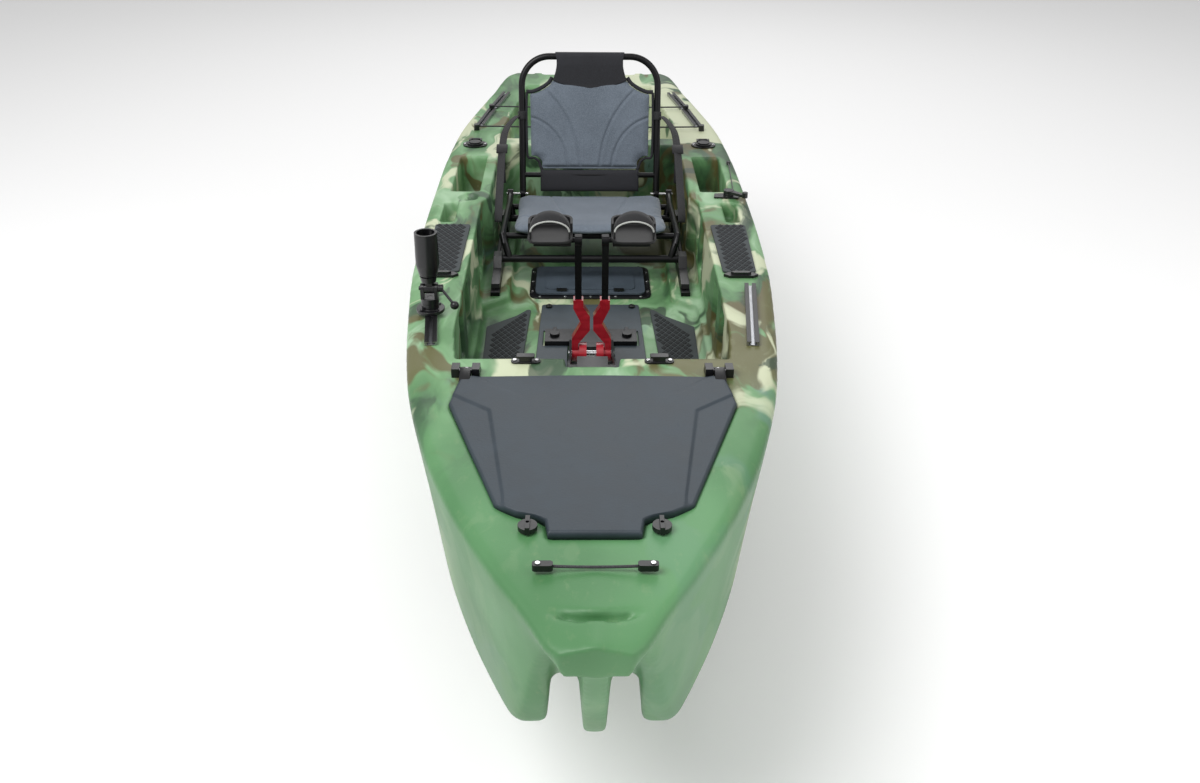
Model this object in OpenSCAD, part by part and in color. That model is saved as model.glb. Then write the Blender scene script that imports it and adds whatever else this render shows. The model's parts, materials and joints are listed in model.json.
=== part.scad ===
// Pedal boat: a one-seat sit-on-top fishing boat with a swinging-fin pedal drive.
// Bow towards -Y, stern towards +Y, port side towards +X, up +Z.
// The origin is on the flat underside of the centre keel, half-way along the hull.

/* [Hull] */
// Length of the hull from chin to transom
hull_l = 3300; // [3150:50:4000]
// Widest beam
beam = 930; // [910:10:1150]
// Height of the deck above the keel
deck_z = 360; // [340:5:440]
// Wall of the moulded shell
wall = 5; // [4:0.5:8]
// Width of the chamfer strip round the deck
gunwale_w = 30; // [20:1:40]
// Height of the bow deck's centre ridge
crown = 9; // [0:1:15]
// Half width of the centre keel's flat underside
keel_half = 20; // [16:1:26]

/* [Cockpit] */
// Place of the bulkhead in front of the feet
bulkhead_y = -720; // [-760:5:-700]
// Rear end of the cockpit
cockpit_aft = 790; // [740:5:830]
// Width of each side deck amidships
side_deck = 147; // [140:1:165]
// Height of the cockpit floor above the keel
floor_z = 140; // [125:1:165]
// Height of the side ledges above the floor
ledge_h = 30; // [20:1:40]
// Slope of the cockpit's side walls, as the inset at the floor
draft = 26; // [10:1:32]
// Depth of the big side pockets
pocket_depth = 120; // [80:5:150]

/* [Tank well] */
// Front end of the tank well
tank_front = 860; // [845:5:920]
// Height of the tank well's floor above the keel
tank_z = 225; // [200:5:260]

/* [Hatches] */
// Gap between the bow and the lid's front edge
lid_from_bow = 280; // [260:5:330]
// Thickness of the bow lid
lid_t = 16; // [12:1:22]
// Depth of the rebate that the lid lies in
rebate = 8; // [6:0.5:10]
// Width of the ledge under the lid's edge
seal_w = 26; // [20:1:32]
// Width of the floor hatch's frame
hatch_w = 350; // [320:5:380]
// Length of the floor hatch's frame
hatch_l = 225; // [200:5:240]
// Front edge of the floor hatch
hatch_y = 55; // [50:1:70]

/* [Pedal drive] */
// Place of the crank shaft along the boat
shaft_y = -420; // [-430:1:-400]
// Height of the crank shaft
shaft_z = 215; // [205:1:240]
// Height of the pedal axles above the crank shaft
crank_l = 300; // [280:1:330]
// Sideways distance of each pedal's centre
pedal_x = 97; // [92:1:110]
// Width of a pedal
pedal_w = 104; // [96:1:110]
// Half width of the well in the hull
well_half = 58; // [58:1:64]
// Length of each fin below its pivot
fin_l = 395; // [330:5:430]
// Chord of each fin
fin_c = 140; // [110:1:150]
// Height of the fins' pivot, just under the keel
fin_z = -14; // [-20:1:-12]

/* [Seat] */
// Width of the seat cushion
seat_w = 470; // [420:5:480]
// Length of the seat cushion
seat_l = 410; // [360:5:420]
// Height of the seat cushion's underside
seat_z = 292; // [285:1:320]
// Thickness of the seat cushion
cushion_t = 30; // [20:1:34]
// Half width of the backrest's tube loop
back_half = 214; // [190:1:222]
// Height of the backrest's tube loop above its hinge
back_h = 425; // [380:5:460]
// Backward lean of the backrest, in degrees
back_lean = 16; // [10:1:22]
// Outside diameter of the seat tubes
tube_d = 22; // [18:1:25]

/* [Fittings] */
// Width of a gear track
track_w = 28; // [24:1:32]
// Height of a gear track
track_h = 10; // [9:0.5:13]
// Bore radius of the rod holders
rod_r = 21; // [19:0.5:23]
// Thickness of the foam pads
pad_t = 5; // [3:0.5:6]

/* [Hidden] */
$fn = 48;

gap = 0.5;              // clearance under a fitting and round a loose piece
far = 3000;             // reach of a cutter that goes right through
design_l = 3300;        // hull length that the station tables are written for
design_beam = 930;      // beam that the station tables are written for
half_l = hull_l / 2;
half_beam = beam / 2;

// ---- plain geometry helpers ----
function unit(v) = v / norm(v);
function mirrored(half) = concat(half, [for (i = [len(half) - 1 : -1 : 0]) [-half[i][0], half[i][1]]]);

// Parallel outline of an anticlockwise polygon, d inwards, or outwards where d is negative.
function inset(p, d) = let (n = len(p)) [
    for (i = [0 : n - 1])
        let (u = unit(p[i] - p[(i + n - 1) % n]), v = unit(p[(i + 1) % n] - p[i]),
             a = [-u[1], u[0]], b = [-v[1], v[0]])
        p[i] + d * (a + b) / (1 + a * b)
];

// The same outline with each corner turned by an arc of radius r in k steps.
function rounded(p, r, k = 3) = let (n = len(p)) [
    for (i = [0 : n - 1])
        let (u = unit(p[i] - p[(i + n - 1) % n]), v = unit(p[(i + 1) % n] - p[i]),
             turn = atan2(u[0] * v[1] - u[1] * v[0], u * v),
             t = r * tan(abs(turn) / 2), side = sign(turn),
             c = p[i] - t * u + side * r * [-u[1], u[0]])
        for (j = [0 : k])
            let (a = turn * j / k, s = -side * r * [-u[1], u[0]])
            c + [s[0] * cos(a) - s[1] * sin(a), s[0] * sin(a) + s[1] * cos(a)]
];

function box_outline(w, l) = [[w / 2, -l / 2], [w / 2, l / 2], [-w / 2, l / 2], [-w / 2, -l / 2]];
function moved(p, d) = [for (q = p) q + d];

// Solid through level outlines with the same number of points, each given as [outline, height].
// An outline runs up its right side and back down its left, so the ends close with strips across it.
module stacked(layers) {
    n = len(layers[0][0]);
    m = len(layers);
    strips = [for (i = [0 : n / 2 - 2]) [i, i + 1, n - 2 - i, n - 1 - i]];
    polyhedron(points = [for (l = layers) for (q = l[0]) [q[0], q[1], l[1]]], faces = concat(
        strips, [for (f = strips) [for (i = [3 : -1 : 0]) (m - 1) * n + f[i]]],
        [for (k = [0 : m - 2], i = [0 : n - 1]) [k * n + i, (k + 1) * n + i, (k + 1) * n + (i + 1) % n]],
        [for (k = [0 : m - 2], i = [0 : n - 1]) [k * n + i, (k + 1) * n + (i + 1) % n, k * n + (i + 1) % n]]));
}

module prism(outline, z_low, z_high) {
    translate([0, 0, z_low]) linear_extrude(z_high - z_low) polygon(outline);
}

// Recess with sloping walls: outline at the top, the same drawn in by slope at the floor.
module tub(outline, z_low, z_high, slope, r) {
    stacked([[rounded(inset(outline, slope), r), z_low], [rounded(outline, r), z_high]]);
}

// Round bar from a to b.
module bar(a, b, r) {
    d = b - a;
    translate(a) rotate([0, acos(d[2] / norm(d)), atan2(d[1], d[0])]) cylinder(r = r, h = norm(d));
}

// Bent tube: one closed skin swept along points, with mitred rings of k sides.
module swept(points, r, k = 10) {
    n = len(points);
    dirs = [for (i = [0 : n - 1]) unit(points[min(i + 1, n - 1)] - points[max(i - 1, 0)])];
    side = abs(dirs[0] * [1, 0, 0]) > 0.9 ? [0, 1, 0] : [1, 0, 0];
    ring = [for (i = [0 : n - 1])
        let (w = unit(cross(dirs[i], side)), u = cross(w, dirs[i]))
        for (j = [0 : k - 1]) points[i] + r * (u * cos(360 * j / k) + w * sin(360 * j / k))];
    polyhedron(points = ring, faces = concat(
        [[for (j = [0 : k - 1]) j]], [[for (j = [k - 1 : -1 : 0]) (n - 1) * k + j]],
        [for (i = [0 : n - 2], j = [0 : k - 1]) [i * k + j, (i + 1) * k + j, (i + 1) * k + (j + 1) % k]],
        [for (i = [0 : n - 2], j = [0 : k - 1]) [i * k + j, (i + 1) * k + (j + 1) % k, i * k + (j + 1) % k]]));
}

module both_sides() { children(); mirror([1, 0, 0]) children(); }
module along_x(x0, x1, r) { translate([x0, 0, 0]) rotate([0, 90, 0]) cylinder(r = r, h = x1 - x0); }

// ---- hull shape: each table gives [station, value] for the design length and beam ----
half_breadth = [[-1650, 62], [-1630, 78], [-1560, 114], [-1450, 175], [-1260, 265], [-1060, 335], [-815, 393],
    [-510, 432], [-200, 457], [150, 465], [500, 463], [880, 448], [1300, 390], [1560, 338], [1625, 318], [1650, 298]];
bilge_half = [[-1650, 54], [-1560, 92], [-1450, 150], [-1260, 232], [-1060, 296], [-815, 350], [-510, 392],
    [-200, 416], [150, 424], [500, 422], [880, 404], [1300, 348], [1560, 298], [1650, 262]];
tunnel_half = [[-1650, 36], [-1560, 74], [-1450, 84], [-1260, 90], [-1060, 100], [-815, 118], [-510, 134],
    [150, 150], [880, 150], [1300, 140], [1650, 120]];
bilge_z = [[-1650, 306], [-1575, 290], [-1535, 215], [-1500, 100], [-1470, 36], [-1430, 15], [-1300, 6],
    [0, 5], [1200, 8], [1450, 26], [1650, 74]];
tunnel_z = [[-1650, 309], [-1575, 296], [-1535, 240], [-1480, 160], [-1400, 130], [-1200, 112], [-900, 84],
    [-510, 62], [150, 55], [1200, 58], [1450, 74], [1650, 112]];
keel_z = [[-1650, 304], [-1615, 286], [-1560, 170], [-1500, 46], [-1470, 12], [-1440, 0], [1350, 0], [1500, 10],
    [1650, 60]];
sheer_rise = [[-1650, -4], [-1500, 0], [1430, 0], [1560, 13], [1650, 20]];
ridge = [[-1650, 1], [-1600, 0.9], [-1450, 0.8], [-1380, 0], [1650, 0]];
stations = [-1650, -1642, -1626, -1600, -1575, -1555, -1535, -1517, -1500, -1485, -1470, -1450, -1430, -1390,
    -1330, -1260, -1160, -1060, -940, -815, -665, -510, -360, -200, -20, 150, 330, 500, 690, 880, 1020, 1160,
    1300, 1420, 1500, 1560, 1600, 1630, 1650];

// Smooth curve through a table's points (cubic pieces with centred slopes).
function slope(t, i) = i <= 0 || i >= len(t) - 1 ? 0
    : let (a = (t[i][1] - t[i - 1][1]) / (t[i][0] - t[i - 1][0]),
           b = (t[i + 1][1] - t[i][1]) / (t[i + 1][0] - t[i][0])) a * b <= 0 ? 0 : 2 * a * b / (a + b);
function piece(t, s, i = 0) = i >= len(t) - 2 || s < t[i + 1][0] ? i : piece(t, s, i + 1);
function curve(t, s) = s <= t[0][0] ? t[0][1] : s >= t[len(t) - 1][0] ? t[len(t) - 1][1]
    : let (i = piece(t, s), h = t[i + 1][0] - t[i][0], x = (s - t[i][0]) / h)
      t[i][1] * (1 + 2 * x) * (1 - x) * (1 - x) + h * slope(t, i) * x * (1 - x) * (1 - x)
      + t[i + 1][1] * x * x * (3 - 2 * x) - h * slope(t, i + 1) * x * x * (1 - x);
function at(t, y) = curve(t, y * design_l / hull_l);
function wide(t, y) = at(t, y) * beam / design_beam;
function inner_wide(t, y, w) = min(wide(t, y - w), wide(t, y + w)) - w;
function inner_high(t, y, w) = max(at(t, y - w), at(t, y + w)) + w;

// Half width of the flat deck, inside the chamfer strip.
function deck_half(y) = wide(half_breadth, y) - gunwale_w * min(1, wide(half_breadth, y) / 200);

// One cross-section at station y, drawn in by w on every side.
function section(y, w) = let (
    b = w > 0 ? inner_wide(half_breadth, y, w) : wide(half_breadth, y),
    bo = w > 0 ? inner_wide(bilge_half, y, w) : wide(bilge_half, y),
    bi = wide(tunnel_half, y) + w,
    zb = min(w > 0 ? inner_high(bilge_z, y, w) : at(bilge_z, y), deck_z - 30),
    zt = min(w > 0 ? inner_high(tunnel_z, y, w) : at(tunnel_z, y), deck_z - 26),
    zk = min(w > 0 ? inner_high(keel_z, y, w) : at(keel_z, y), zt - 4),
    zs = deck_z + at(sheer_rise, y) - w,
    crease = b - (wide(half_breadth, y) - deck_half(y)) + w * 0.4,
    r = min(34, (bo - bi) * 0.3), rt = min(14, (zt - zb) * 0.3 + 1),
    e = min(8, 0.12 * bi), ez = min(6, 0.3 * (zt - zb)),
    kt = min(keel_half * 1.4, bi * 0.62) - w, kb = min(keel_half - w * 0.9, kt - 1),
    half = [
        [crease, zs], [b, zs - 15 - w * 0.4], [b - 3, zs - 0.35 * (zs - zb)],
        [bo + 0.45 * (b - bo), zb + 0.3 * (zs - zb)], [bo, zb + r], [bo - 0.3 * r, zb + 0.3 * r], [bo - r, zb],
        [bi + rt, zb], [bi, zb + rt], [bi - e, zt - ez], [bi - 2 * e, zt], [kt + e, zt],
        [kt, zt - min(10, 0.5 * (zt - zk))], [kb, zk + min(6, 0.3 * (zt - zk))], [kb - min(5, kb * 0.3), zk]])
    concat([[0, deck_z - w + crown * at(ridge, y)]], half, [for (i = [len(half) - 1 : -1 : 0]) [-half[i][0], half[i][1]]]);

// Facets that close an end of the loft: both side hulls, then the body over the tunnels and the keel.
side_facets = [[0, 1, 2], [0, 2, 3], [4, 10, 11], [4, 5, 10], [5, 9, 10], [5, 6, 9], [6, 8, 9], [6, 7, 8]];
body_facets = [[0, 3, 28], [3, 4, 27, 28], [4, 11, 12], [4, 12, 19], [4, 19, 20], [4, 20, 27],
    [12, 13, 18, 19], [13, 14, 17, 18], [14, 15, 16, 17]];
end_facets = concat(body_facets, side_facets, [for (f = side_facets) [for (i = [2 : -1 : 0]) (31 - f[i]) % 31]]);

// Skin through the cross-sections at every station in ys.
module lofted(ys, w) {
    n = len(section(ys[0], w));
    m = len(ys);
    polyhedron(points = [for (y = ys) for (q = section(y, w)) [q[0], y, q[1]]], faces = concat(
        end_facets, [for (f = end_facets) [for (j = [len(f) - 1 : -1 : 0]) (m - 1) * n + f[j]]],
        [for (i = [0 : m - 2], j = [0 : n - 1]) [i * n + j, (i + 1) * n + j, (i + 1) * n + (j + 1) % n]],
        [for (i = [0 : m - 2], j = [0 : n - 1]) [i * n + j, (i + 1) * n + (j + 1) % n, i * n + (j + 1) % n]]));
}
hull_stations = [for (s = stations) s * hull_l / design_l];
hold_stations = concat([for (y = hull_stations) if (y > -half_l + 40 && y < half_l - 3 * wall) y], [half_l - wall]);

// ---- cockpit ----
cockpit_half = half_beam - side_deck;
seat_half = cockpit_half - 22;
step_y = 250;           // where the cockpit narrows beside the side pockets
ledge_w = 88;
cockpit_top = mirrored([[cockpit_half - 16, bulkhead_y], [cockpit_half, bulkhead_y + 160],
    [cockpit_half, step_y], [seat_half, step_y + 50], [seat_half, cockpit_aft]]);
cockpit_low = mirrored([[cockpit_half - 16 - draft, bulkhead_y + draft], [cockpit_half - draft, bulkhead_y + 160],
    [cockpit_half - draft, -40], [cockpit_half - ledge_w, 15], [cockpit_half - ledge_w, cockpit_aft - draft]]);
module cockpit(g = 0) {
    tub(inset(cockpit_top, -g), floor_z + ledge_h - g, deck_z + 40, draft * 0.4, 22);
    tub(inset(cockpit_low, -g), floor_z - g, floor_z + ledge_h + 12, 4, 12);
}

// ---- drive well and the notch in the bulkhead that the drive's nose lies in ----
well_front = bulkhead_y - 36;
well_aft = shaft_y + 178;
module well(g = 0) {
    translate([-well_half - g, well_front - g, -20]) cube([2 * (well_half + g), well_aft - well_front + 2 * g, deck_z + 60]);
}

// ---- tank well, pockets and grips ----
tank_aft = half_l - 130;
tank_outline = mirrored([[deck_half(tank_front) - 112, tank_front],
    [deck_half(tank_front + 100) - 104, tank_front + 100], [deck_half(tank_aft) - 76, tank_aft]]);
module tank_well(g = 0) { tub(inset(tank_outline, -g), tank_z - g, deck_z + 40, 20, 24); }

pocket_y = [342, 668];
pocket_x = [cockpit_half + 8, cockpit_half + 98];
small_y = [95, 250];
small_x = [cockpit_half + 62, cockpit_half + 106];
function span(x, y) = [[x[1], y[0]], [x[1], y[1]], [x[0], y[1]], [x[0], y[0]]];
module pockets(g = 0) {
    both_sides() {
        tub(inset(span(pocket_x, pocket_y), -g), deck_z - pocket_depth - g, deck_z + 40, 8, 12);
        tub(inset(span(small_x, small_y), -g), deck_z - 50 - g, deck_z + 40, 5, 8);
    }
}
cup_at = [-(cockpit_half + 40), 293];
module cup_recess(g = 0) { translate([cup_at[0], cup_at[1], deck_z - 14 - g]) cylinder(r = 28 + g, h = 60); }

grip_y = -half_l + 80;
grip_half = 74;
function grip_arc(y0, sag, n = 6) = [for (i = [0 : n]) let (t = 2 * i / n - 1) [t * grip_half, y0 + sag * t * t]];
module bow_grip(g = 0) {
    front = grip_arc(grip_y - 16, 22);
    back = grip_arc(grip_y + 2, 14);
    outline = concat(front, [for (i = [len(back) - 1 : -1 : 0]) back[i]]);
    prism(inset(outline, -g), deck_z - 16 - g, deck_z + 40);
}

// ---- bow hatch ----
lid_y = [-half_l + lid_from_bow, bulkhead_y - 95];
lid_half = [deck_half(lid_y[0]) - 12, deck_half(lid_y[1]) - 66];
notch_r = 27;
latch_at = [lid_half[0] - 58, lid_y[0] + 22];
lid_corner = lid_y[0] + 90;
lid_outline = mirrored([[latch_at[0] - notch_r - 8, lid_y[0]], [latch_at[0] - notch_r - 2, latch_at[1] + 18],
    [latch_at[0] - 8, latch_at[1] + notch_r + 4], [latch_at[0] + 22, lid_corner - 28],
    [lid_half[0] + 4, lid_corner], [lid_half[1] - 4, lid_y[1] - 110], [lid_half[1] - 18, lid_y[1] - 12],
    [lid_half[1] - 50, lid_y[1]]]);
hold_outline = mirrored([[lid_half[0] - 40, lid_corner + 30], [lid_half[1] - 4 - seal_w - 12, lid_y[1] - 110],
    [lid_half[1] - 60, lid_y[1] - seal_w - 12]]);
lid_z = deck_z - rebate + 3;
module hatch_opening() {
    prism(rounded(inset(lid_outline, -3), 6), deck_z - rebate, deck_z + 40);
    prism(rounded(hold_outline, 20), deck_z - wall - rebate - 30, deck_z + 40);
}

// ---- floor hatch ----
hatch_c = [0, hatch_y + hatch_l / 2];
hatch_rim = 24;         // width of the frame's flange outside the opening
module floor_opening() {
    prism(rounded(moved(box_outline(hatch_w - 2 * hatch_rim, hatch_l - 2 * hatch_rim), hatch_c), 18),
        floor_z - 30, floor_z + 30);
}

// ---- places of the fittings on the side decks ----
rod_hole_at = [cockpit_half + 60, 786];
rod_depth = 185;
pad_y = [-258, 62];
front_track = [[deck_half(-660) - 26, -660], [deck_half(-340) - 26, -340]];
rear_run = [tank_front + 130, half_l - 245];
rear_mid = (rear_run[0] + rear_run[1]) / 2;
scupper_at = [[cockpit_half - ledge_w - 52, 640], [deck_half(tank_aft) - 130, tank_aft - 120]];
scupper_r = 14;
module scuppers(g = 0) {
    both_sides() for (p = scupper_at) translate([p[0], p[1], -20]) cylinder(r = scupper_r + g, h = deck_z, $fn = 24);
}
rib_x = [171, 150];
rib_y = [bulkhead_y + 60, 20];
module floor_ribs() {
    both_sides() prism([[rib_x[0] + 9, rib_y[0]], [rib_x[1] + 9, rib_y[1]], [rib_x[1] - 9, rib_y[1]],
        [rib_x[0] - 9, rib_y[0]]], floor_z - 2, floor_z + 9);
}
drain_at = [110, half_l, 190];
gudgeon_z = [250, 300];

module hold() {
    difference() {
        lofted(hold_stations, wall);
        cockpit(wall);
        well(wall);
        tank_well(wall);
        pockets(wall);
        cup_recess(wall);
        bow_grip(wall);
        scuppers(wall);
        prism(rounded(inset(lid_outline, -3 - wall), 6), deck_z - rebate - wall, deck_z + 40);
    }
}

module hull() {
    color("olivedrab") {
        difference() {
            lofted(hull_stations, 0);
            hold();
            cockpit();
            well();
            tank_well();
            pockets();
            cup_recess();
            bow_grip();
            scuppers();
            hatch_opening();
            floor_opening();
            both_sides() translate([rod_hole_at[0], rod_hole_at[1], deck_z - 60]) cylinder(r = rod_r + 5, h = 120);
            translate([drain_at[0], drain_at[1] - 20, drain_at[2]]) rotate([-90, 0, 0]) cylinder(r = 11, h = 60);
        }
        floor_ribs();
    }
}

// ---- bow hatch pieces ----
hinge_at = [lid_half[1] - 28, lid_y[1] + 16, deck_z + 14];
hinge_pin_r = 3;
module bow_lid() {
    color("dimgray") difference() {
        union() {
            stacked([[rounded(lid_outline, 5), lid_z], [rounded(lid_outline, 5), lid_z + lid_t - 4],
                [rounded(inset(lid_outline, 5), 5), lid_z + lid_t]]);
            both_sides() translate([hinge_at[0] - 12, lid_y[1] - 30, deck_z + 1])
                cube([24, hinge_at[1] - lid_y[1] + 34, hinge_at[2] - deck_z + 4]);
        }
        both_sides() translate([0, hinge_at[1], hinge_at[2]])
            along_x(hinge_at[0] - 20, hinge_at[0] + 20, hinge_pin_r + 0.05);
        prism(rounded(inset(hold_outline, 8), 14), lid_z - 1, lid_z + 7);
    }
}
module hatch_gaskets() {
    color("black") {
        difference() {
            prism(rounded(inset(hold_outline, -12), 24), deck_z - rebate + 0.3, lid_z - 0.3);
            prism(rounded(inset(hold_outline, -5), 22), deck_z - rebate - 1, lid_z + 1);
        }
        difference() {
            prism(rounded(moved(box_outline(panel_w - 4, panel_l - 4), hatch_c), 18), panel_z - 1.8, panel_z - 0.2);
            prism(rounded(moved(box_outline(panel_w - 14, panel_l - 14), hatch_c), 16), panel_z - 4, panel_z + 2);
        }
    }
}
module bow_hinge_pins() {
    color("silver") both_sides() translate([0, hinge_at[1], hinge_at[2]])
        along_x(hinge_at[0] - 30, hinge_at[0] + 30, hinge_pin_r);
}
module bow_hinge_blocks() {
    color("black") both_sides() difference() {
        union() {
            for (s = [-1, 1]) translate([hinge_at[0] + s * 21.5 - 8.5, hinge_at[1] - 9, deck_z + gap])
                cube([17, 30, hinge_at[2] - deck_z - gap + 7]);
            translate([hinge_at[0] - 30, hinge_at[1] + 11, deck_z + gap]) cube([60, 20, 5]);
        }
        translate([0, hinge_at[1], hinge_at[2]]) along_x(hinge_at[0] - 40, hinge_at[0] + 40, hinge_pin_r + 0.05);
    }
}
latch_z = deck_z + 4;
module bow_latch() {
    translate([latch_at[0], latch_at[1], latch_z]) difference() {
        union() {
            cylinder(r = 17, h = 9);
            translate([-4, -19, 0]) cube([8, 38, 15]);
        }
        translate([0, 0, -1]) cylinder(r = 3.2, h = 30);
    }
}
module bow_latch_port() { color("black") bow_latch(); }
module bow_latch_starboard() { color("black") mirror([1, 0, 0]) bow_latch(); }

bungee_y = -half_l + 184;
bungee_x = 84;
pad_z = deck_z + crown + 1;
tank_bungee_y = [tank_front + 95, rear_mid];
function tank_bungee_x(y) = deck_half(y) - 30;
bungee_r = 2.5;
module bungees() {
    color("black") {
        translate([0, bungee_y, pad_z + 6]) along_x(-bungee_x + 10, bungee_x - 10, bungee_r);
        for (y = tank_bungee_y) translate([0, y, deck_z + 13])
            along_x(-tank_bungee_x(y) + 1.5, tank_bungee_x(y) - 1.5, bungee_r);
    }
}
module bungee_ends() {
    color("black") both_sides() {
        difference() {
            translate([bungee_x + 2, bungee_y, 0])
                prism(rounded(box_outline(34, 15), 5), pad_z, pad_z + 12);
            translate([0, bungee_y, pad_z + 6]) along_x(bungee_x - 20, bungee_x - 9.5, bungee_r + 0.3);
        }
        for (y = tank_bungee_y) difference() {
            translate([tank_bungee_x(y) + 4, y, deck_z + gap]) prism(rounded(box_outline(18, 22), 5), 0, 19);
            translate([0, y, deck_z + 13]) along_x(tank_bungee_x(y) - 30, tank_bungee_x(y) - 1, bungee_r + 0.3);
        }
    }
}

// ---- cleats and screws ----
cleat_at = [145, bulkhead_y - 16];
module cleat_plate(w, l, h) {
    prism(rounded(box_outline(w, l), l / 2 - 1), 0, 4);
    prism(rounded(box_outline(w * 0.42, l * 0.7), 3), 0, h);
    prism(rounded(box_outline(w * 0.62, l * 0.8), 4), h - 5, h);
}
side_cleat_at = [(cockpit_half + deck_half(pad_y[0])) / 2 + 6, pad_y[0] - 20];
module cleats() {
    color("black") both_sides() {
        translate([cleat_at[0], cleat_at[1], deck_z + gap]) cleat_plate(64, 22, 17);
        translate([side_cleat_at[0], side_cleat_at[1], deck_z + gap]) {
            prism([[44, 0], [30, 12], [-30, 12], [-44, 0], [-30, -12], [30, -12]], 0, 7);
            prism([[26, 0], [18, 6], [-18, 6], [-26, 0], [-18, -6], [18, -6]], 7, 13);
        }
    }
}
module screw(h) { cylinder(r = 4.5, h = h, $fn = 20); }
bolt_n = 5;
module hatch_bolts() {
    z = floor_z + gap + frame_t;
    for (i = [0 : bolt_n - 1], s = [-1, 1])
        translate([(i - (bolt_n - 1) / 2) * (hatch_w - 60) / (bolt_n - 1), hatch_c[1] + s * (hatch_l / 2 - 8), z])
            screw(2.5);
    for (i = [-1 : 1], s = [-1, 1])
        translate([s * (hatch_w / 2 - 8), hatch_c[1] + i * (hatch_l / 2 - 46), z]) screw(2.5);
}
module fitting_screws() {
    color("silver") hatch_bolts();
    color("silver") for (x = [-22, 22], z = [232, 318])
        translate([x, half_l + gap + 5, z]) rotate([-90, 0, 0]) screw(3);
    color("silver") both_sides() {
        for (s = [-1, 1]) translate([cleat_at[0] + s * 24, cleat_at[1], deck_z + gap + 4]) screw(2.5);
        translate([bungee_x + 10, bungee_y, pad_z + 12]) screw(2);
        translate([hinge_at[0], hinge_at[1] + 21, deck_z + gap + 5]) screw(2.5);
        for (s = [-1, 1]) translate([rod_hole_at[0] + s * 33, rod_hole_at[1], deck_z + gap + 4]) screw(2);
    }
}

// ---- foam pads ----
module foam_pads() {
    color("darkslategray") both_sides() {
        prism(rounded([[deck_half(pad_y[0]) - 6, pad_y[0]], [deck_half(pad_y[1]) - 6, pad_y[1]],
            [cockpit_half + 14, pad_y[1]], [cockpit_half + 16, pad_y[0]]], 8), deck_z + gap, deck_z + gap + pad_t);
        prism(rounded([[rib_x[0] + 16, rib_y[0] + 40], [cockpit_half - draft - 18, rib_y[0] + 130],
            [cockpit_half - draft - 10, -130], [cockpit_half - ledge_w - 26, -62], [rib_x[1] + 16, -10]], 6),
            floor_z + gap, floor_z + gap + pad_t);
    }
}

// ---- gear tracks ----
// Slotted rail between two points on the deck.
module track(a, b) {
    l = norm(b - a);
    w = track_w / 2;
    translate([a[0], a[1], deck_z + gap]) rotate([0, 0, atan2(b[1] - a[1], b[0] - a[0])]) rotate([90, 0, 90])
        linear_extrude(l) polygon([[-w, 0], [w, 0], [w, track_h], [4, track_h], [4, track_h - 3], [9, track_h - 3],
            [9, 2.5], [-9, 2.5], [-9, track_h - 3], [-4, track_h - 3], [-4, track_h], [-w, track_h]]);
}
function rear_point(y) = [deck_half(y) - 32, y];
module gear_tracks() {
    color("black") both_sides() {
        track(front_track[0], front_track[1]);
        track(rear_point(rear_run[0]), rear_point(rear_mid - 16));
        track(rear_point(rear_mid + 16), rear_point(rear_run[1]));
    }
}

// ---- floor insert round the drive ----
insert_t = 4;
bar_y = [well_aft + 4, well_aft + 86];
module floor_insert() {
    x = rib_x[1] - 14;
    color("dimgray") difference() {
        prism(rounded([[x + 14, bulkhead_y + 70], [x, rib_y[1] - 8], [-x, rib_y[1] - 8], [-x - 14, bulkhead_y + 70]], 8),
            floor_z + gap, floor_z + gap + insert_t);
        translate([-well_half - 3, -far, 0]) cube([2 * well_half + 6, far + bar_y[0] + 4, far]);
        translate([-127, bar_y[0] - 3, 0]) cube([254, bar_y[1] - bar_y[0] + 6, far]);
    }
}
module floor_knobs() {
    color("black") both_sides() translate([rib_x[1] - 34, rib_y[1] - 26, floor_z + gap + insert_t]) {
        cylinder(r = 9, h = 6);
        cylinder(r = 4, h = 9);
    }
}

// ---- floor hatch pieces ----
frame_t = 4;
panel_l = hatch_l - 2 * hatch_rim + 14;
panel_w = hatch_w - 2 * hatch_rim + 14;
module floor_hatch_frame() {
    color("black") difference() {
        prism(rounded(moved(box_outline(hatch_w, hatch_l), hatch_c), 26), floor_z + gap, floor_z + gap + frame_t);
        prism(rounded(moved(box_outline(hatch_w - 2 * hatch_rim - 4, hatch_l - 2 * hatch_rim - 4), hatch_c), 16),
            floor_z, floor_z + 20);
    }
}
panel_z = floor_z + gap + frame_t + 2;
module floor_hatch_lid() {
    color("dimgray") difference() {
        union() {
            prism(rounded(moved(box_outline(panel_w, panel_l), hatch_c), 20), panel_z, panel_z + 5);
            prism(rounded(moved(box_outline(panel_w - 60, panel_l - 46), hatch_c), 14), panel_z + 4, panel_z + 8);
            both_sides() translate([0, hatch_c[1] + panel_l / 2, panel_z + 2.6]) along_x(40, 100, 2.5);
        }
        both_sides() translate([floor_latch_x, hatch_y + hatch_rim + 8, panel_z - 5]) cylinder(r = 3.1, h = 20);
    }
}
floor_latch_x = 82;
module floor_latch() {
    translate([floor_latch_x, hatch_y + hatch_rim + 8, panel_z]) {
        translate([-15, -6, 8.4]) cube([30, 11, 4]);
        translate([0, 0, 5.4]) cylinder(r = 5.5, h = 4);
        cylinder(r = 3, h = 9);
    }
}
module floor_latch_port() { color("black") floor_latch(); }
module floor_latch_starboard() { color("black") mirror([1, 0, 0]) floor_latch(); }

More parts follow.
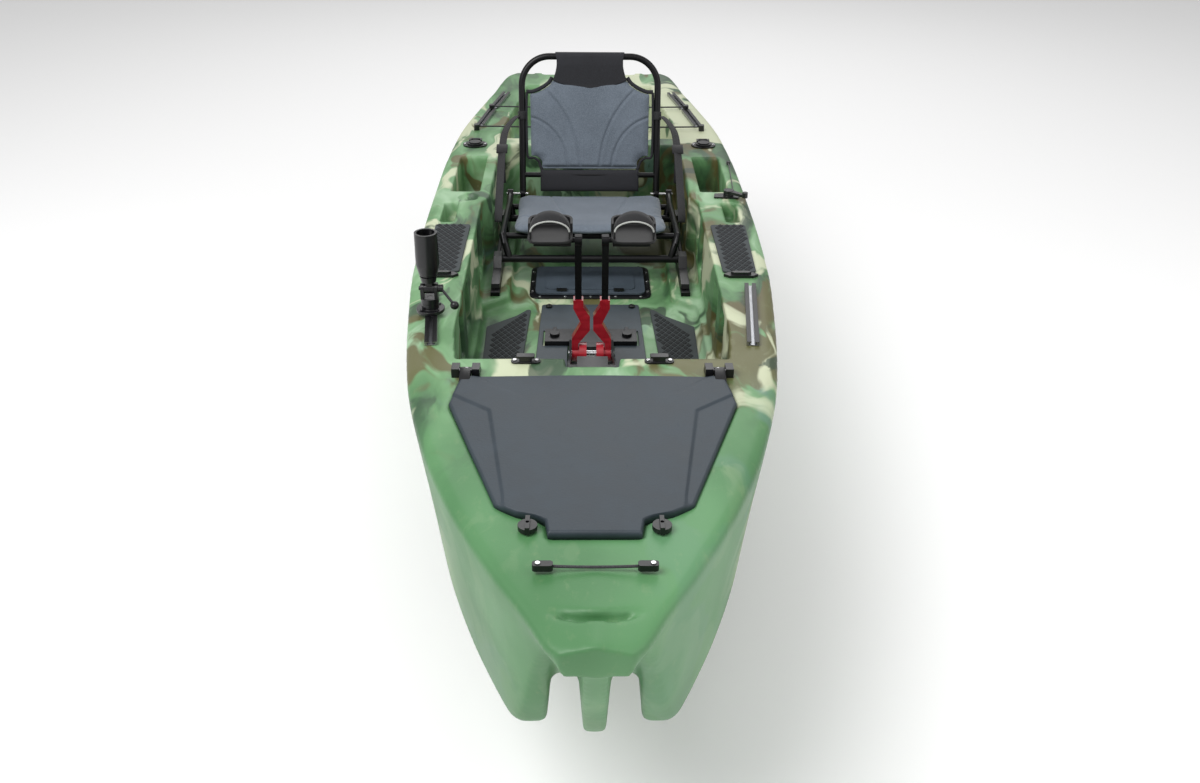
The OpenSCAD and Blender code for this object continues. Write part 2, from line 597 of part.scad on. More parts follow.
// ---- pedal drive ----
cheek = well_half - 9;  // inner face of each cheek plate
cheek_t = 6;
nose_y = well_front + 6;
tail_y = well_aft - 6;
shaft_r = 8;
fin_shaft_r = 7;
module drive_housing() {
    side = [[nose_y, deck_z - 22], [nose_y + 60, deck_z - 22], [shaft_y - 95, shaft_z + 38], [shaft_y - 40, shaft_z + 18],
        [shaft_y + 40, shaft_z + 18], [tail_y - 30, floor_z + 34], [tail_y, floor_z + 22],
        [tail_y, 4], [nose_y + 60, 4], [nose_y, 60]];
    color("black") difference() {
        union() {
            both_sides() difference() {
                translate([cheek, 0, 0]) rotate([90, 0, 90]) linear_extrude(cheek_t) polygon(side);
                translate([0, shaft_y, shaft_z]) along_x(cheek - 5, cheek + cheek_t + 5, shaft_r + 0.05);
            }
            // Nose block, tail block and the cross-bar that rests on the floor behind the well.
            translate([-cheek - 1, nose_y, 60]) cube([2 * cheek + 2, 44, deck_z - 82]);
            translate([-cheek - 1, nose_y + 60, fin_z - 14]) cube([2 * cheek + 2, 22, 44 - fin_z]);
            translate([-cheek - 1, tail_y - 22, fin_z - 14]) cube([2 * cheek + 2, 22, floor_z + 30 - fin_z]);
            translate([-122, bar_y[0], floor_z + gap]) cube([244, bar_y[1] - bar_y[0] - 8, 15]);
            translate([-cheek, tail_y - 10, floor_z + gap]) cube([2 * cheek, 30, 15]);
            translate([-34, nose_y + 10, deck_z - 22]) cube([68, 50, 12]);
        }
        translate([0, nose_y + 50, fin_z]) rotate([-90, 0, 0])
            cylinder(r = fin_shaft_r + 0.05, h = tail_y - nose_y - 40);
        both_sides() translate([16, nose_y + 20, shaft_z + 14]) rotate([-90, 0, 0]) cylinder(r = 5.1, h = 60);
        both_sides() translate([cam_at[0], cam_at[1], floor_z]) cylinder(r = 4.05, h = 40);
    }
}
cam_at = [96, (bar_y[0] + bar_y[1] - 8) / 2];
module lock_cam() {
    translate([cam_at[0], cam_at[1], floor_z + gap + 15.4]) {
        cylinder(r = 13, h = 7);
        translate([-5, 0, 0]) cube([10, 34, 7]);
        translate([0, 0, -10]) cylinder(r = 4, h = 12);
    }
}
module lock_cam_port() { color("black") lock_cam(); }
module lock_cam_starboard() { color("black") mirror([1, 0, 0]) lock_cam(); }
module drive_rods() {
    color("silver") both_sides() translate([16, nose_y + 22, shaft_z + 14]) rotate([-90, 0, 0])
        cylinder(r = 5, h = shaft_y - 72 - nose_y - 22);
}
drum_r = 34;
fin_y = [shaft_y - 190, shaft_y - 14];
hub_l = 44;
module drive_chains() {
    // One chain from each crank drum down to its fin's hub, clear of both.
    x = [22, -22];
    color("darkgray") for (i = [0, 1])
        bar([x[i], fin_y[i] + hub_l / 2, fin_z + 6], [x[i], shaft_y - (i == 0 ? 22 : -10), shaft_z - drum_r], 2.2);
}
module drive_shafts() {
    color("silver") {
        translate([0, shaft_y, shaft_z]) along_x(-cheek - cheek_t - 1.5, cheek + cheek_t + 1.5, shaft_r);
        translate([0, nose_y + 60.5, fin_z]) rotate([-90, 0, 0]) cylinder(r = fin_shaft_r, h = tail_y - nose_y - 61);
    }
}
module crank() {
    color("crimson") difference() {
        union() {
            translate([0, shaft_y + 13, 0]) rotate([90, 0, 0]) linear_extrude(26) polygon([
                [20, shaft_z + 150], [44, shaft_z + 150], [44, shaft_z + 128], [25, shaft_z + 88],
                [cheek - 1, shaft_z + 46], [cheek - 1, shaft_z], [cheek - 17, shaft_z], [cheek - 17, shaft_z + 34],
                [4, shaft_z + 70], [4, shaft_z + 106], [20, shaft_z + 132]]);
            translate([0, shaft_y, shaft_z]) along_x(cheek - 20, cheek - 1, 20);
            translate([0, shaft_y, shaft_z]) along_x(12, cheek - 19, drum_r - 6);
        }
        translate([0, shaft_y, shaft_z]) along_x(0, cheek + 10, shaft_r + 0.05);
    }
}
module crank_port() { crank(); }
module crank_starboard() { mirror([1, 0, 0]) crank(); }
axle_z = shaft_z + crank_l;
axle_r = 6;
arm_x = 32;
module arm() {
    color("black") difference() {
        union() {
            translate([arm_x - 8, shaft_y - 8, shaft_z + 150.2]) cube([16, 16, crank_l - 150.2 + 12]);
            translate([arm_x - 9, shaft_y, axle_z]) rotate([0, 90, 0]) cylinder(r = 13, h = 17);
            translate([0, shaft_y, axle_z]) along_x(arm_x, pedal_x + pedal_w / 2 - 6, axle_r);
        }
        translate([arm_x - 4, shaft_y - 4, shaft_z + 100]) cube([8, 8, crank_l - 130]);
    }
}
module arm_port() { arm(); }
module arm_starboard() { mirror([1, 0, 0]) arm(); }
pedal_l = 118;
module pedal() {
    x0 = pedal_x - pedal_w / 2 + 4;
    color("black") difference() {
        union() {
            // Sole plate, raised heel cup and the sleeve that turns on the axle.
            translate([0, shaft_y - 20, axle_z + 13]) prism(rounded(moved(box_outline(pedal_w, pedal_l), [pedal_x, 18]), 26), 0, 7);
            translate([0, shaft_y, axle_z]) along_x(x0, pedal_x + pedal_w / 2 - 12, 15);
            difference() {
                translate([0, shaft_y - 20, axle_z + 19]) prism(rounded(moved(box_outline(pedal_w, pedal_l), [pedal_x, 18]), 26), 0, 24);
                translate([0, shaft_y - 20, axle_z + 18]) prism(rounded(moved(box_outline(pedal_w - 12, pedal_l), [pedal_x, 10]), 22), 0, 30);
                translate([0, shaft_y - 200, axle_z]) cube([300, 196, 100]);
            }
        }
        translate([0, shaft_y, axle_z]) along_x(x0 - 5, pedal_x + pedal_w, axle_r + 0.05);
    }
}
module pedal_port() { pedal(); }
module pedal_starboard() { mirror([1, 0, 0]) pedal(); }
module pedal_strap() {
    y = shaft_y - 22;
    w = pedal_w / 2 - 2;
    outer = concat([[w, 0]], [for (a = [0 : 20 : 180]) [w * cos(a), 22 + 34 * sin(a)]], [[-w, 0]]);
    inner = concat([[w - 3, 0]], [for (a = [0 : 20 : 180]) [(w - 3) * cos(a), 22 + 31 * sin(a)]], [[-w + 3, 0]]);
    color("black") translate([pedal_x, y, axle_z + 20.2]) rotate([90, 0, 0]) linear_extrude(24)
        polygon(concat(outer, [for (i = [len(inner) - 1 : -1 : 0]) inner[i]]));
}
module pedal_straps_port() { pedal_strap(); }
module pedal_straps_starboard() { mirror([1, 0, 0]) pedal_strap(); }

// ---- fins ----
mast_r = 5;
module fin_mast(y) {
    color("silver") difference() {
        union() {
            translate([0, y, fin_z]) rotate([-90, 0, 0]) cylinder(r = 15, h = hub_l);
            translate([0, y + 12, fin_z - fin_l + 12]) cylinder(r = mast_r, h = fin_l - 16);
        }
        translate([0, y - 1, fin_z]) rotate([-90, 0, 0]) cylinder(r = fin_shaft_r + 0.05, h = hub_l + 2);
    }
}
// Trailing outline of a blade: full at the root, drawn back to a round tip.
module fin_blade(y) {
    top = fin_z - 46;
    tip = fin_z - fin_l;
    lead = y + 1;
    tail = y + fin_c;
    outline = [[lead, top], [lead, tip + 40], [lead + 8, tip + 12], [lead + 24, tip], [lead + 44, tip + 4],
        [tail - 38, tip + 70], [tail - 12, tip + 150], [tail, top - 90], [tail - 8, top - 30], [tail - 34, top]];
    color("black") difference() {
        union() {
            translate([-3, 0, 0]) rotate([90, 0, 90]) linear_extrude(6) polygon(outline);
            translate([0, y + 12, tip + 22]) cylinder(r = mast_r + 4, h = top - tip - 22);
        }
        translate([0, y + 12, tip + 10]) cylinder(r = mast_r + 0.1, h = fin_l);
    }
}
module front_fin_mast() { fin_mast(fin_y[0]); }
module front_fin_blade() { fin_blade(fin_y[0]); }
module rear_fin_mast() { fin_mast(fin_y[1]); }
module rear_fin_blade() { fin_blade(fin_y[1]); }

// ---- seat: rails on the ledges, a sliding lower frame and a folding back ----
tube_r = tube_d / 2;
rail_x = cockpit_half - 50;
rail_z = floor_z + ledge_h + gap;
rail_y = [10, 640];
rail_h = 12;
seat_y = 150;           // front edge of the seat cushion
bar_at = [172, rail_z + rail_h + 22 + tube_r];
rear_bar_y = seat_y + 345;
hinge_y = seat_y + seat_l + 40;
seat_slope = 6;          // the seat falls towards its back edge
hinge_z = seat_z + 14 - (seat_l + 40) * sin(seat_slope);
function seat_at(y) = seat_z - (y - seat_y) * tan(seat_slope);   // underside of the cushion
frame_x = seat_w / 2 + 8 + tube_r;
module seat_rails() {
    color("black") both_sides() difference() {
        translate([rail_x - 13, rail_y[0], rail_z]) cube([26, rail_y[1] - rail_y[0], rail_h]);
        translate([rail_x - 4, rail_y[0] + 20, rail_z + 4]) cube([8, rail_y[1] - rail_y[0] - 40, rail_h]);
    }
}
module seat_feet() {
    color("black") both_sides() difference() {
        union() {
            // A sloping toe in front of the head that holds the cross bar.
            translate([rail_x - 12, 0, 0]) rotate([90, 0, 90]) linear_extrude(24) polygon([
                [32, rail_z + rail_h + 1], [bar_at[0] + 24, rail_z + rail_h + 1], [bar_at[0] + 20, bar_at[1] + 16],
                [bar_at[0] - 18, bar_at[1] + 16], [bar_at[0] - 40, bar_at[1] - 12], [36, rail_z + rail_h + 14]]);
            translate([rail_x - 12, rear_bar_y - 25, rail_z + rail_h + 1]) cube([24, 50, 2 * tube_r + 30]);
        }
        translate([0, bar_at[0], bar_at[1]]) along_x(rail_x - 40, rail_x + 40, tube_r + 0.05);
        translate([0, rear_bar_y, bar_at[1]]) along_x(rail_x - 40, rail_x + 40, tube_r + 0.05);
    }
}
module seat_frame() {
    color("black") difference() {
        union() {
            translate([0, bar_at[0], bar_at[1]]) along_x(-rail_x - 13, rail_x + 13, tube_r);
            translate([0, rear_bar_y, bar_at[1]]) along_x(-rail_x - 13, rail_x + 13, tube_r);
            both_sides() {
                swept([[frame_x - 20, bar_at[0], bar_at[1]], [frame_x - 6, bar_at[0] + 6, seat_z - 30],
                    [frame_x, seat_y + 46, seat_at(seat_y + 46) - 8], [frame_x, seat_y + 80, seat_at(seat_y + 80) - 4],
                    [frame_x, hinge_y - 70, seat_at(hinge_y - 70) - 2], [frame_x, hinge_y, hinge_z]], tube_r - 1);
                swept([[frame_x - 6, hinge_y - 80, seat_at(hinge_y - 80) - 4], [frame_x - 14, rear_bar_y + 5, bar_at[1]]], tube_r - 2);
                translate([frame_x - 9, hinge_y, hinge_z]) rotate([0, 90, 0]) cylinder(r = 15, h = 18);
            }
            for (y = [seat_y + 60, hinge_y - 60])
                translate([0, y, seat_at(y) - 14]) along_x(-frame_x, frame_x, tube_r - 2);
        }
        translate([0, hinge_y, hinge_z]) along_x(-frame_x - 20, frame_x + 20, pin_r + 0.05);
    }
}
module seat_cushion() {
    color("gray") translate([0, seat_y, seat_z]) rotate([-seat_slope, 0, 0]) translate([0, seat_l / 2, 0])
        prism(rounded(box_outline(seat_w, seat_l), 30), 0, cushion_t);
}
pin_r = 4;
module seat_hinge_pins() {
    color("silver") both_sides() translate([0, hinge_y, hinge_z]) along_x(back_half - tube_r - 6, frame_x + 12, pin_r);
}

// Backrest pieces are drawn upright on their hinge line and then leaned back.
module leaned() { translate([0, hinge_y, hinge_z]) rotate([-back_lean, 0, 0]) children(); }
loop_r = 88;
function loop_path() = concat([[-back_half, 0, 2]], [[-back_half, 0, back_h - loop_r]],
    [for (a = [15 : 15 : 75]) [-back_half + loop_r * (1 - cos(a)), 0, back_h - loop_r * (1 - sin(a))]],
    [[-back_half + loop_r, 0, back_h]], [[back_half - loop_r, 0, back_h]],
    [for (a = [75 : -15 : 15]) [back_half - loop_r * (1 - cos(a)), 0, back_h - loop_r * (1 - sin(a))]],
    [[back_half, 0, back_h - loop_r]], [[back_half, 0, 2]]);
module back_frame() {
    color("black") leaned() difference() {
        union() {
            swept(loop_path(), tube_r - 1);
            both_sides() along_x(back_half - 8, back_half + 8, 14);
            translate([0, 0, 60]) along_x(-back_half, back_half, tube_r - 3);
        }
        both_sides() along_x(back_half - 30, back_half + 30, pin_r + 0.05);
    }
}
cushion_half = back_half - tube_r - 1;
band_half = 104;
module back_cushion() {
    color("gray") leaned() translate([0, 12, 0]) rotate([90, 0, 0]) linear_extrude(cushion_t - 2) polygon(rounded(mirrored([
        [cushion_half - 44, 84], [cushion_half - 44, 112], [cushion_half, 120], [cushion_half, back_h - 100],
        [band_half + 14, back_h - 72]]), 8));
}
module back_bands() {
    color("black") leaned() difference() {
        union() {
            translate([0, tube_r + 5, 0]) rotate([90, 0, 0]) linear_extrude(2 * tube_r + 10) polygon(mirrored([
                [band_half + 8, back_h - 70], [band_half - 8, back_h - 34], [band_half - 4, back_h + tube_r + 5]]));
            translate([-cushion_half + 46, -13, 8]) cube([2 * cushion_half - 92, 24, 62]);
        }
        translate([0, 0, back_h]) along_x(-200, 200, tube_r + 0.5);
        translate([0, 0, 60]) along_x(-200, 200, tube_r - 2);
    }
}
module seat_straps() {
    x = frame_x + tube_r + 5;
    a = [hinge_y + 62, hinge_z + 245];
    b = [seat_y + 100, seat_z + 22];
    color("black") both_sides() translate([x, 0, 0]) rotate([90, 0, 90]) linear_extrude(2.5)
        polygon([[a[0], a[1]], [a[0] - 26, a[1] + 4], [b[0] - 16, b[1] + 2], [b[0] - 16, b[1] - 22], [b[0] + 10, b[1] - 22]]);
}

// ---- rod holder on the starboard track ----
holder_y = -500;
holder_x = -(deck_half(holder_y) - 26);
holder_z = deck_z + gap + track_h + gap;
module rod_holder_base() {
    color("black") translate([holder_x, holder_y, holder_z]) {
        cylinder(r = 33, h = 8);
        cylinder(r = 20, h = 22);
        cylinder(r = 7, h = 34);
        for (a = [45 : 90 : 315]) rotate([0, 0, a]) translate([26, 0, 8]) screw(3);
    }
}
swivel_z = holder_z + 22.5;
tilt_z = swivel_z + 34;
module rod_holder_swivel() {
    color("black") translate([holder_x, holder_y, 0]) difference() {
        union() {
            translate([0, 0, swivel_z]) cylinder(r = 21, h = 12);
            for (s = [-1, 1]) translate([s * 16 - 4, -12, swivel_z + 10]) cube([8, 24, 24]);
            translate([-20, 0, tilt_z]) rotate([0, 90, 0]) cylinder(r = 12, h = 8);
            translate([12, 0, tilt_z]) rotate([0, 90, 0]) cylinder(r = 12, h = 8);
        }
        translate([0, 0, swivel_z - 1]) cylinder(r = 7.05, h = 14);
        translate([0, 0, tilt_z]) along_x(-40, 40, 5.05);
    }
}
cup_h = 120;
module rod_holder_cup() {
    color("black") translate([holder_x, holder_y, 0]) difference() {
        union() {
            translate([0, 0, tilt_z]) along_x(-11.5, 11.5, 12);
            translate([-8, -8, tilt_z]) cube([16, 16, 22]);
            translate([0, 0, tilt_z + 18]) cylinder(r1 = 17, r2 = rod_r + 6, h = 44);
            translate([0, 0, tilt_z + 62]) cylinder(r1 = rod_r + 6, r2 = rod_r + 5, h = cup_h - 44);
        }
        translate([0, 0, tilt_z + 32]) cylinder(r = rod_r, h = cup_h);
        translate([0, 0, tilt_z]) along_x(-40, 40, 5.05);
        for (a = [0, 180]) rotate([0, 0, a]) translate([0, -6, tilt_z + 18 + 74]) cube([60, 12, 30]);
    }
}
module rod_holder_lever() {
    color("black") translate([holder_x, holder_y, tilt_z]) {
        along_x(-24, 32, 5);
        along_x(20.5, 32, 9);
        bar([27, 0, 0], [62, -46, -22], 3.2);
        translate([62, -46, -22]) sphere(r = 10);
    }
}

// ---- flush rod holders behind the seat ----
module flush_rod_holders() {
    color("black") both_sides() translate([rod_hole_at[0], rod_hole_at[1], deck_z]) difference() {
        union() {
            translate([0, 0, gap]) prism(rounded(box_outline(80, 62), 30), 0, 4);
            translate([0, 0, -rod_depth]) cylinder(r = rod_r + 3.5, h = rod_depth + 2);
            translate([-14, 29.5, gap]) cube([28, 8, 12]);
        }
        translate([0, 0, -rod_depth + 4]) cylinder(r = rod_r, h = rod_depth + 20);
        translate([0, 32, 9]) along_x(-20, 20, 2.05);
    }
}
cap_hinge = [32, 9];    // behind the bore, above the deck
module rod_cap() {
    color("black") translate([rod_hole_at[0], rod_hole_at[1], deck_z]) {
        translate([0, 0, gap + 4.5]) cylinder(r = rod_r + 5, h = 4);
        translate([0, 0, gap + 8]) cylinder(r = rod_r - 2, h = 4);
        for (s = [-1, 1]) translate([s * 18 - 3, 14, gap + 4.5]) cube([6, 20, 8]);
        translate([0, cap_hinge[0], cap_hinge[1]]) along_x(-21, 21, 2);
    }
}
module rod_cap_port() { rod_cap(); }
module rod_cap_starboard() { mirror([1, 0, 0]) rod_cap(); }

// ---- plugs ----
module drain_plugs() {
    color("black") {
        translate([drain_at[0], drain_at[1] + gap, drain_at[2]]) rotate([-90, 0, 0]) {
            cylinder(r = 17, h = 5);
            translate([-2, -12, 5]) cube([4, 24, 5]);
            translate([0, 0, -14]) cylinder(r = 10, h = 14);
        }
        both_sides() for (i = [0, 1]) translate([scupper_at[i][0], scupper_at[i][1], (i == 0 ? floor_z : tank_z) + gap]) {
            cylinder(r = scupper_r + 6, h = 4);
            translate([0, 0, -16]) cylinder(r = scupper_r - 1, h = 16);
        }
    }
}

// ---- rudder and the lever that steers it ----
lever_at = [cockpit_half + 90, 298];
module rudder_lever_base() {
    color("black") translate([lever_at[0], lever_at[1], deck_z + gap]) difference() {
        union() {
            prism([[26, -20], [34, 0], [26, 24], [-40, 16], [-44, -14]], 0, 5);
            cylinder(r = 15, h = 12);
        }
        translate([0, 0, 4]) cylinder(r = 6.05, h = 20);
    }
}
module rudder_lever() {
    color("black") translate([lever_at[0], lever_at[1], deck_z + gap]) {
        translate([0, 0, 4.5]) cylinder(r = 6, h = 10);
        translate([0, 0, 12.5]) cylinder(r = 15, h = 9);
        translate([0, 0, 12.5]) prism([[-8, -6], [40, -44], [46, -38], [6, 10]], 0, 8);
        translate([43, -41, 12.5]) cylinder(r = 8, h = 16);
    }
}
eye_at = [cockpit_half + 122, 596];
line_r = 1.6;
line_z = 8;             // height of the steering lines above the deck
drum_rudder = 24;
drum_z = deck_z + 14;
stern_eye_y = half_l - 70;
module rudder_lines() {
    color("black") {
        bar([lever_at[0] + 16, lever_at[1] + 17, deck_z + line_z], [eye_at[0], eye_at[1] - 6, deck_z + line_z - 3], line_r);
        both_sides() bar([drum_rudder + 2.2, stern_eye_y + 6, drum_z + 4], [drum_rudder + 2.2, half_l + 34, drum_z + 4], line_r);
        translate([eye_at[0], eye_at[1], 0]) prism(rounded(box_outline(12, 12), 3), deck_z + gap, deck_z + 10);
        both_sides() translate([drum_rudder + 2.2, stern_eye_y, 0]) prism(rounded(box_outline(12, 12), 3), deck_z + 3, deck_z + 26);
    }
}
pintle_y = half_l + 35;
pintle_r = 6;
module rudder_bracket() {
    color("dimgray") difference() {
        union() {
            translate([-30, half_l + gap, 215]) cube([60, 5, 120]);
            for (z = [215, 323]) {
                translate([-13, half_l + gap, z]) cube([26, pintle_y - half_l - gap, 12]);
                translate([0, pintle_y, z]) cylinder(r = 13, h = 12);
            }
        }
        translate([0, pintle_y, 200]) cylinder(r = pintle_r + 0.05, h = 200);
    }
}
blade_pivot = [pintle_y + 30, 268];
module rudder_head() {
    color("black") difference() {
        union() {
            translate([0, pintle_y, 212]) cylinder(r = pintle_r, h = drum_z - 212 + 8);
            translate([0, pintle_y, drum_z]) cylinder(r = drum_rudder, h = 8);
            translate([0, pintle_y, 228]) cylinder(r = 14, h = 94);
            translate([-14, pintle_y, 236]) cube([28, 52, 64]);
        }
        translate([-4.5, pintle_y + 8, 200]) cube([9, 60, 130]);
        translate([0, blade_pivot[0], blade_pivot[1]]) along_x(-20, 20, 5.05);
    }
}
module rudder_blade() {
    y = blade_pivot[0];
    color("black") {
        translate([-4, 0, 0]) rotate([90, 0, 90]) linear_extrude(8) polygon([[y - 12, 286], [y + 12, 286],
            [y + 20, 236], [y + 92, 190], [y + 84, 40], [y + 62, -96], [y + 36, -118], [y + 12, -106], [y - 6, 30],
            [y - 8, 214], [y - 16, 250]]);
        translate([0, y, blade_pivot[1]]) along_x(-17, 17, 5);
    }
}

hull();
bow_lid();
hatch_gaskets();
bow_hinge_pins();
bow_hinge_blocks();
bow_latch_port();
bow_latch_starboard();
bungees();
bungee_ends();
cleats();
fitting_screws();
foam_pads();
gear_tracks();
floor_insert();
floor_knobs();
floor_hatch_frame();
floor_hatch_lid();
floor_latch_port();
floor_latch_starboard();
drain_plugs();
drive_housing();
drive_rods();
drive_chains();
lock_cam_port();
lock_cam_starboard();
drive_shafts();
crank_port();
crank_starboard();
arm_port();
arm_starboard();
pedal_port();
pedal_starboard();
pedal_straps_port();
pedal_straps_starboard();
front_fin_mast();
front_fin_blade();
rear_fin_mast();
rear_fin_blade();
seat_rails();
seat_feet();
seat_frame();
seat_cushion();
seat_hinge_pins();
back_frame();
back_cushion();
back_bands();
seat_straps();
rod_holder_base();
rod_holder_swivel();
rod_holder_cup();
rod_holder_lever();
flush_rod_holders();
rod_cap_port();
rod_cap_starboard();
rudder_lever_base();
rudder_lever();
rudder_lines();
rudder_bracket();
rudder_head();
rudder_blade();
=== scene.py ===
"""Pedal boat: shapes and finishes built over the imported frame.

Metres. Bow towards -Y, stern towards +Y, port +X, up +Z; the origin is under the middle of the keel.
"""
import json
import math

import bmesh
import bpy
import numpy as np
from mathutils import Matrix, Vector


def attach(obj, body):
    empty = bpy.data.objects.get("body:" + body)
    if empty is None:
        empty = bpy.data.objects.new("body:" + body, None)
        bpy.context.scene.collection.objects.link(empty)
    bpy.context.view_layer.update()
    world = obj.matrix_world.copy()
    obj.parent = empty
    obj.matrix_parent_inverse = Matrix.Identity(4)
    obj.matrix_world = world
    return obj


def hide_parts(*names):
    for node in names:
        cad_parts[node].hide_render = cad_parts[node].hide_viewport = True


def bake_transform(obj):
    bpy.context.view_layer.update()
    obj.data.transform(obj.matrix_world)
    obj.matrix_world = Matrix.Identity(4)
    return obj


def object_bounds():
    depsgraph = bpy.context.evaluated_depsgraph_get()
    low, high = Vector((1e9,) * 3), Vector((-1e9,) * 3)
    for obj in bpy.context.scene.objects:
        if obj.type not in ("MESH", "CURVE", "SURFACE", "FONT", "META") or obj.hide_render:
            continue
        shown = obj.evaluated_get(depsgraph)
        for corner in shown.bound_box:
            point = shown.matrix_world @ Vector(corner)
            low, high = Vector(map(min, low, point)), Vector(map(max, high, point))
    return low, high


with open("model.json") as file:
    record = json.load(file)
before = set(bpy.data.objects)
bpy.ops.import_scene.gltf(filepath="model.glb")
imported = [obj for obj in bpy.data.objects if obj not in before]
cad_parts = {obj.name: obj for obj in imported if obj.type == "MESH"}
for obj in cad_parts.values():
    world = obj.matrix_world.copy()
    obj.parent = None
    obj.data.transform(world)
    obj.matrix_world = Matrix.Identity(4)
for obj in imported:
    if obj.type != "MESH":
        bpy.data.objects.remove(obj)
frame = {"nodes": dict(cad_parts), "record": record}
cad_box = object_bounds()
NODES = frame["nodes"]
MM = 0.001
CLOTH_FRAMES, CLOTH_VOXEL, CLOTH_PRESSURE = 20, 0.0055, 4.0


# ---------------------------------------------------------------- shader helpers
class Value:
    """A socket that adds Math nodes to its material when Python calculates with it."""

    def __init__(self, paint, socket):
        self.paint, self.socket = paint, socket

    def _math(self, operation, *values):
        return self.paint.node("Math", dict(enumerate(values)), operation=operation)

    def __add__(self, other):
        return self._math("ADD", self, other)

    def __sub__(self, other):
        return self._math("SUBTRACT", self, other)

    def __rsub__(self, other):
        return self._math("SUBTRACT", other, self)

    def __mul__(self, other):
        return self._math("MULTIPLY", self, other)

    __radd__, __rmul__ = __add__, __mul__

    def sine(self):
        return self._math("SINE", self)

    def size(self):
        return self._math("ABSOLUTE", self)

    def between(self, low, high):
        """0 below low, 1 above high and smooth between."""
        return self.paint.node("MapRange", {"Value": self, "From Min": low, "From Max": high},
                               interpolation_type="SMOOTHSTEP")


class Paint:
    """A material and the one method that adds nodes to it."""

    def __init__(self, name):
        self.material = bpy.data.materials.new(name)
        self.material.use_nodes = True
        self.tree = self.material.node_tree
        self.shader = self.tree.nodes["Principled BSDF"]

    def node(self, kind, inputs=None, out=0, stops=None, **settings):
        made = self.tree.nodes.new("ShaderNode" + kind)
        for key, value in settings.items():
            setattr(made, key, value)
        if stops:
            ramp = made.color_ramp.elements
            while len(ramp) < len(stops):
                ramp.new(0.5)
            for element, (place, colour) in zip(ramp, stops):
                element.position, element.color = place, (*colour, 1)
        for key, value in (inputs or {}).items():
            self.feed(made.inputs[key], value)
        return Value(self, made.outputs[out])

    def feed(self, socket, value):
        if isinstance(value, Value):
            self.tree.links.new(value.socket, socket)
        elif hasattr(value, "__len__") and len(value) == 3 and socket.type == "RGBA":
            socket.default_value = (*value, 1)
        else:
            socket.default_value = value

    def set(self, **sockets):
        for key, value in sockets.items():
            self.feed(self.shader.inputs[key.replace("_", " ")], value)
        return self

    def place(self, scale=(1, 1, 1)):
        """Object coordinates, stretched."""
        where = self.node("TexCoord", out="Object")
        if scale == (1, 1, 1):
            return where
        return self.node("Mapping", {"Vector": where, "Scale": scale})

    def noise(self, where, scale, detail=3.0, roughness=0.5, distortion=0.0, out=0):
        return self.node("TexNoise", {"Vector": where, "Scale": scale, "Detail": detail,
                                      "Roughness": roughness, "Distortion": distortion}, out=out)

    def mix(self, factor, a, b):
        return self.node("Mix", {0: factor, 6: a, 7: b}, out=2, data_type="RGBA")

    def bump(self, height, depth, strength=1.0):
        return self.node("Bump", {"Height": height, "Distance": depth, "Strength": strength})


def moulded_camouflage():
    """Rotomoulded plastic: swirled greens, cream and olive, with a fine orange-peel skin."""
    p = Paint("hull_moulding")
    where = p.place(scale=(1.25, 0.62, 1.0))
    drift = p.noise(where, 2.6, 3, out=1)
    drift = p.node("VectorMath", {0: drift, 1: (0.5, 0.5, 0.5)}, operation="SUBTRACT")
    drift = p.node("VectorMath", {0: drift, "Scale": 0.75}, operation="SCALE")
    swirl = p.node("VectorMath", {0: where, 1: drift}, operation="ADD")
    apart = p.node("VectorMath", {0: swirl, 1: (7.3, 2.1, 4.4)}, operation="ADD")
    beyond = p.node("VectorMath", {0: swirl, 1: (-3.7, 8.2, 1.3)}, operation="ADD")
    along = p.node("SeparateXYZ", {0: p.place()}, out=1)
    # The bow is nearly plain green; the pattern grows past the hatch.
    busy = along.between(-1.28, -0.72)
    greens = p.node("ValToRGB", {0: p.noise(swirl, 3.0, 4, 0.55, 0.5)}, stops=[
        (0.36, (0.032, 0.080, 0.036)), (0.44, (0.090, 0.215, 0.085)), (0.54, (0.155, 0.320, 0.145)),
        (0.64, (0.300, 0.470, 0.290))])
    calm = p.mix(p.noise(where, 3.0, 2).between(0.35, 0.7), (0.058, 0.180, 0.064), (0.100, 0.262, 0.105))
    colour = p.mix(busy, calm, greens)
    teal = p.noise(beyond, 2.0, 4, 0.5, 0.8).between(0.56, 0.63)
    colour = p.mix(teal * 0.75 * (0.2 + 0.8 * busy), colour, (0.120, 0.220, 0.190))
    olive = p.noise(apart, 3.1, 4, 0.5, 1.0).between(0.54, 0.60)
    colour = p.mix(olive * 0.9 * busy, colour, (0.105, 0.085, 0.026))
    cream = p.noise(p.node("VectorMath", {0: swirl, 1: (1.9, -5.4, 9.1)}, operation="ADD"), 3.0, 4, 0.5, 1.1)
    colour = p.mix(cream.between(0.535, 0.60) * 0.92 * (0.05 + 0.95 * busy), colour, (0.560, 0.600, 0.410))
    dark = p.noise(p.node("VectorMath", {0: swirl, 1: (-6.2, 3.3, -2.8)}, operation="ADD"), 3.1, 4, 0.55, 1.2)
    colour = p.mix(dark.between(0.57, 0.63) * 0.85 * busy, colour, (0.022, 0.050, 0.026))
    # Powder never mixes fully, so fine specks and streaks stay in the wall.
    speck = p.noise(where, 46, 3, 0.6)
    colour = p.mix(speck.between(0.55, 0.8) * 0.14, colour, (0.30, 0.36, 0.20))
    skin = p.noise(p.place(), 420, 2) * 0.5 + p.noise(p.place(), 34, 2) * 0.5
    p.set(Base_Color=colour, Roughness=0.42 + p.noise(where, 9, 3) * 0.16, Coat_Weight=0.06, Coat_Roughness=0.3,
          Normal=p.bump(skin, 0.0006, 0.55))
    return p.material


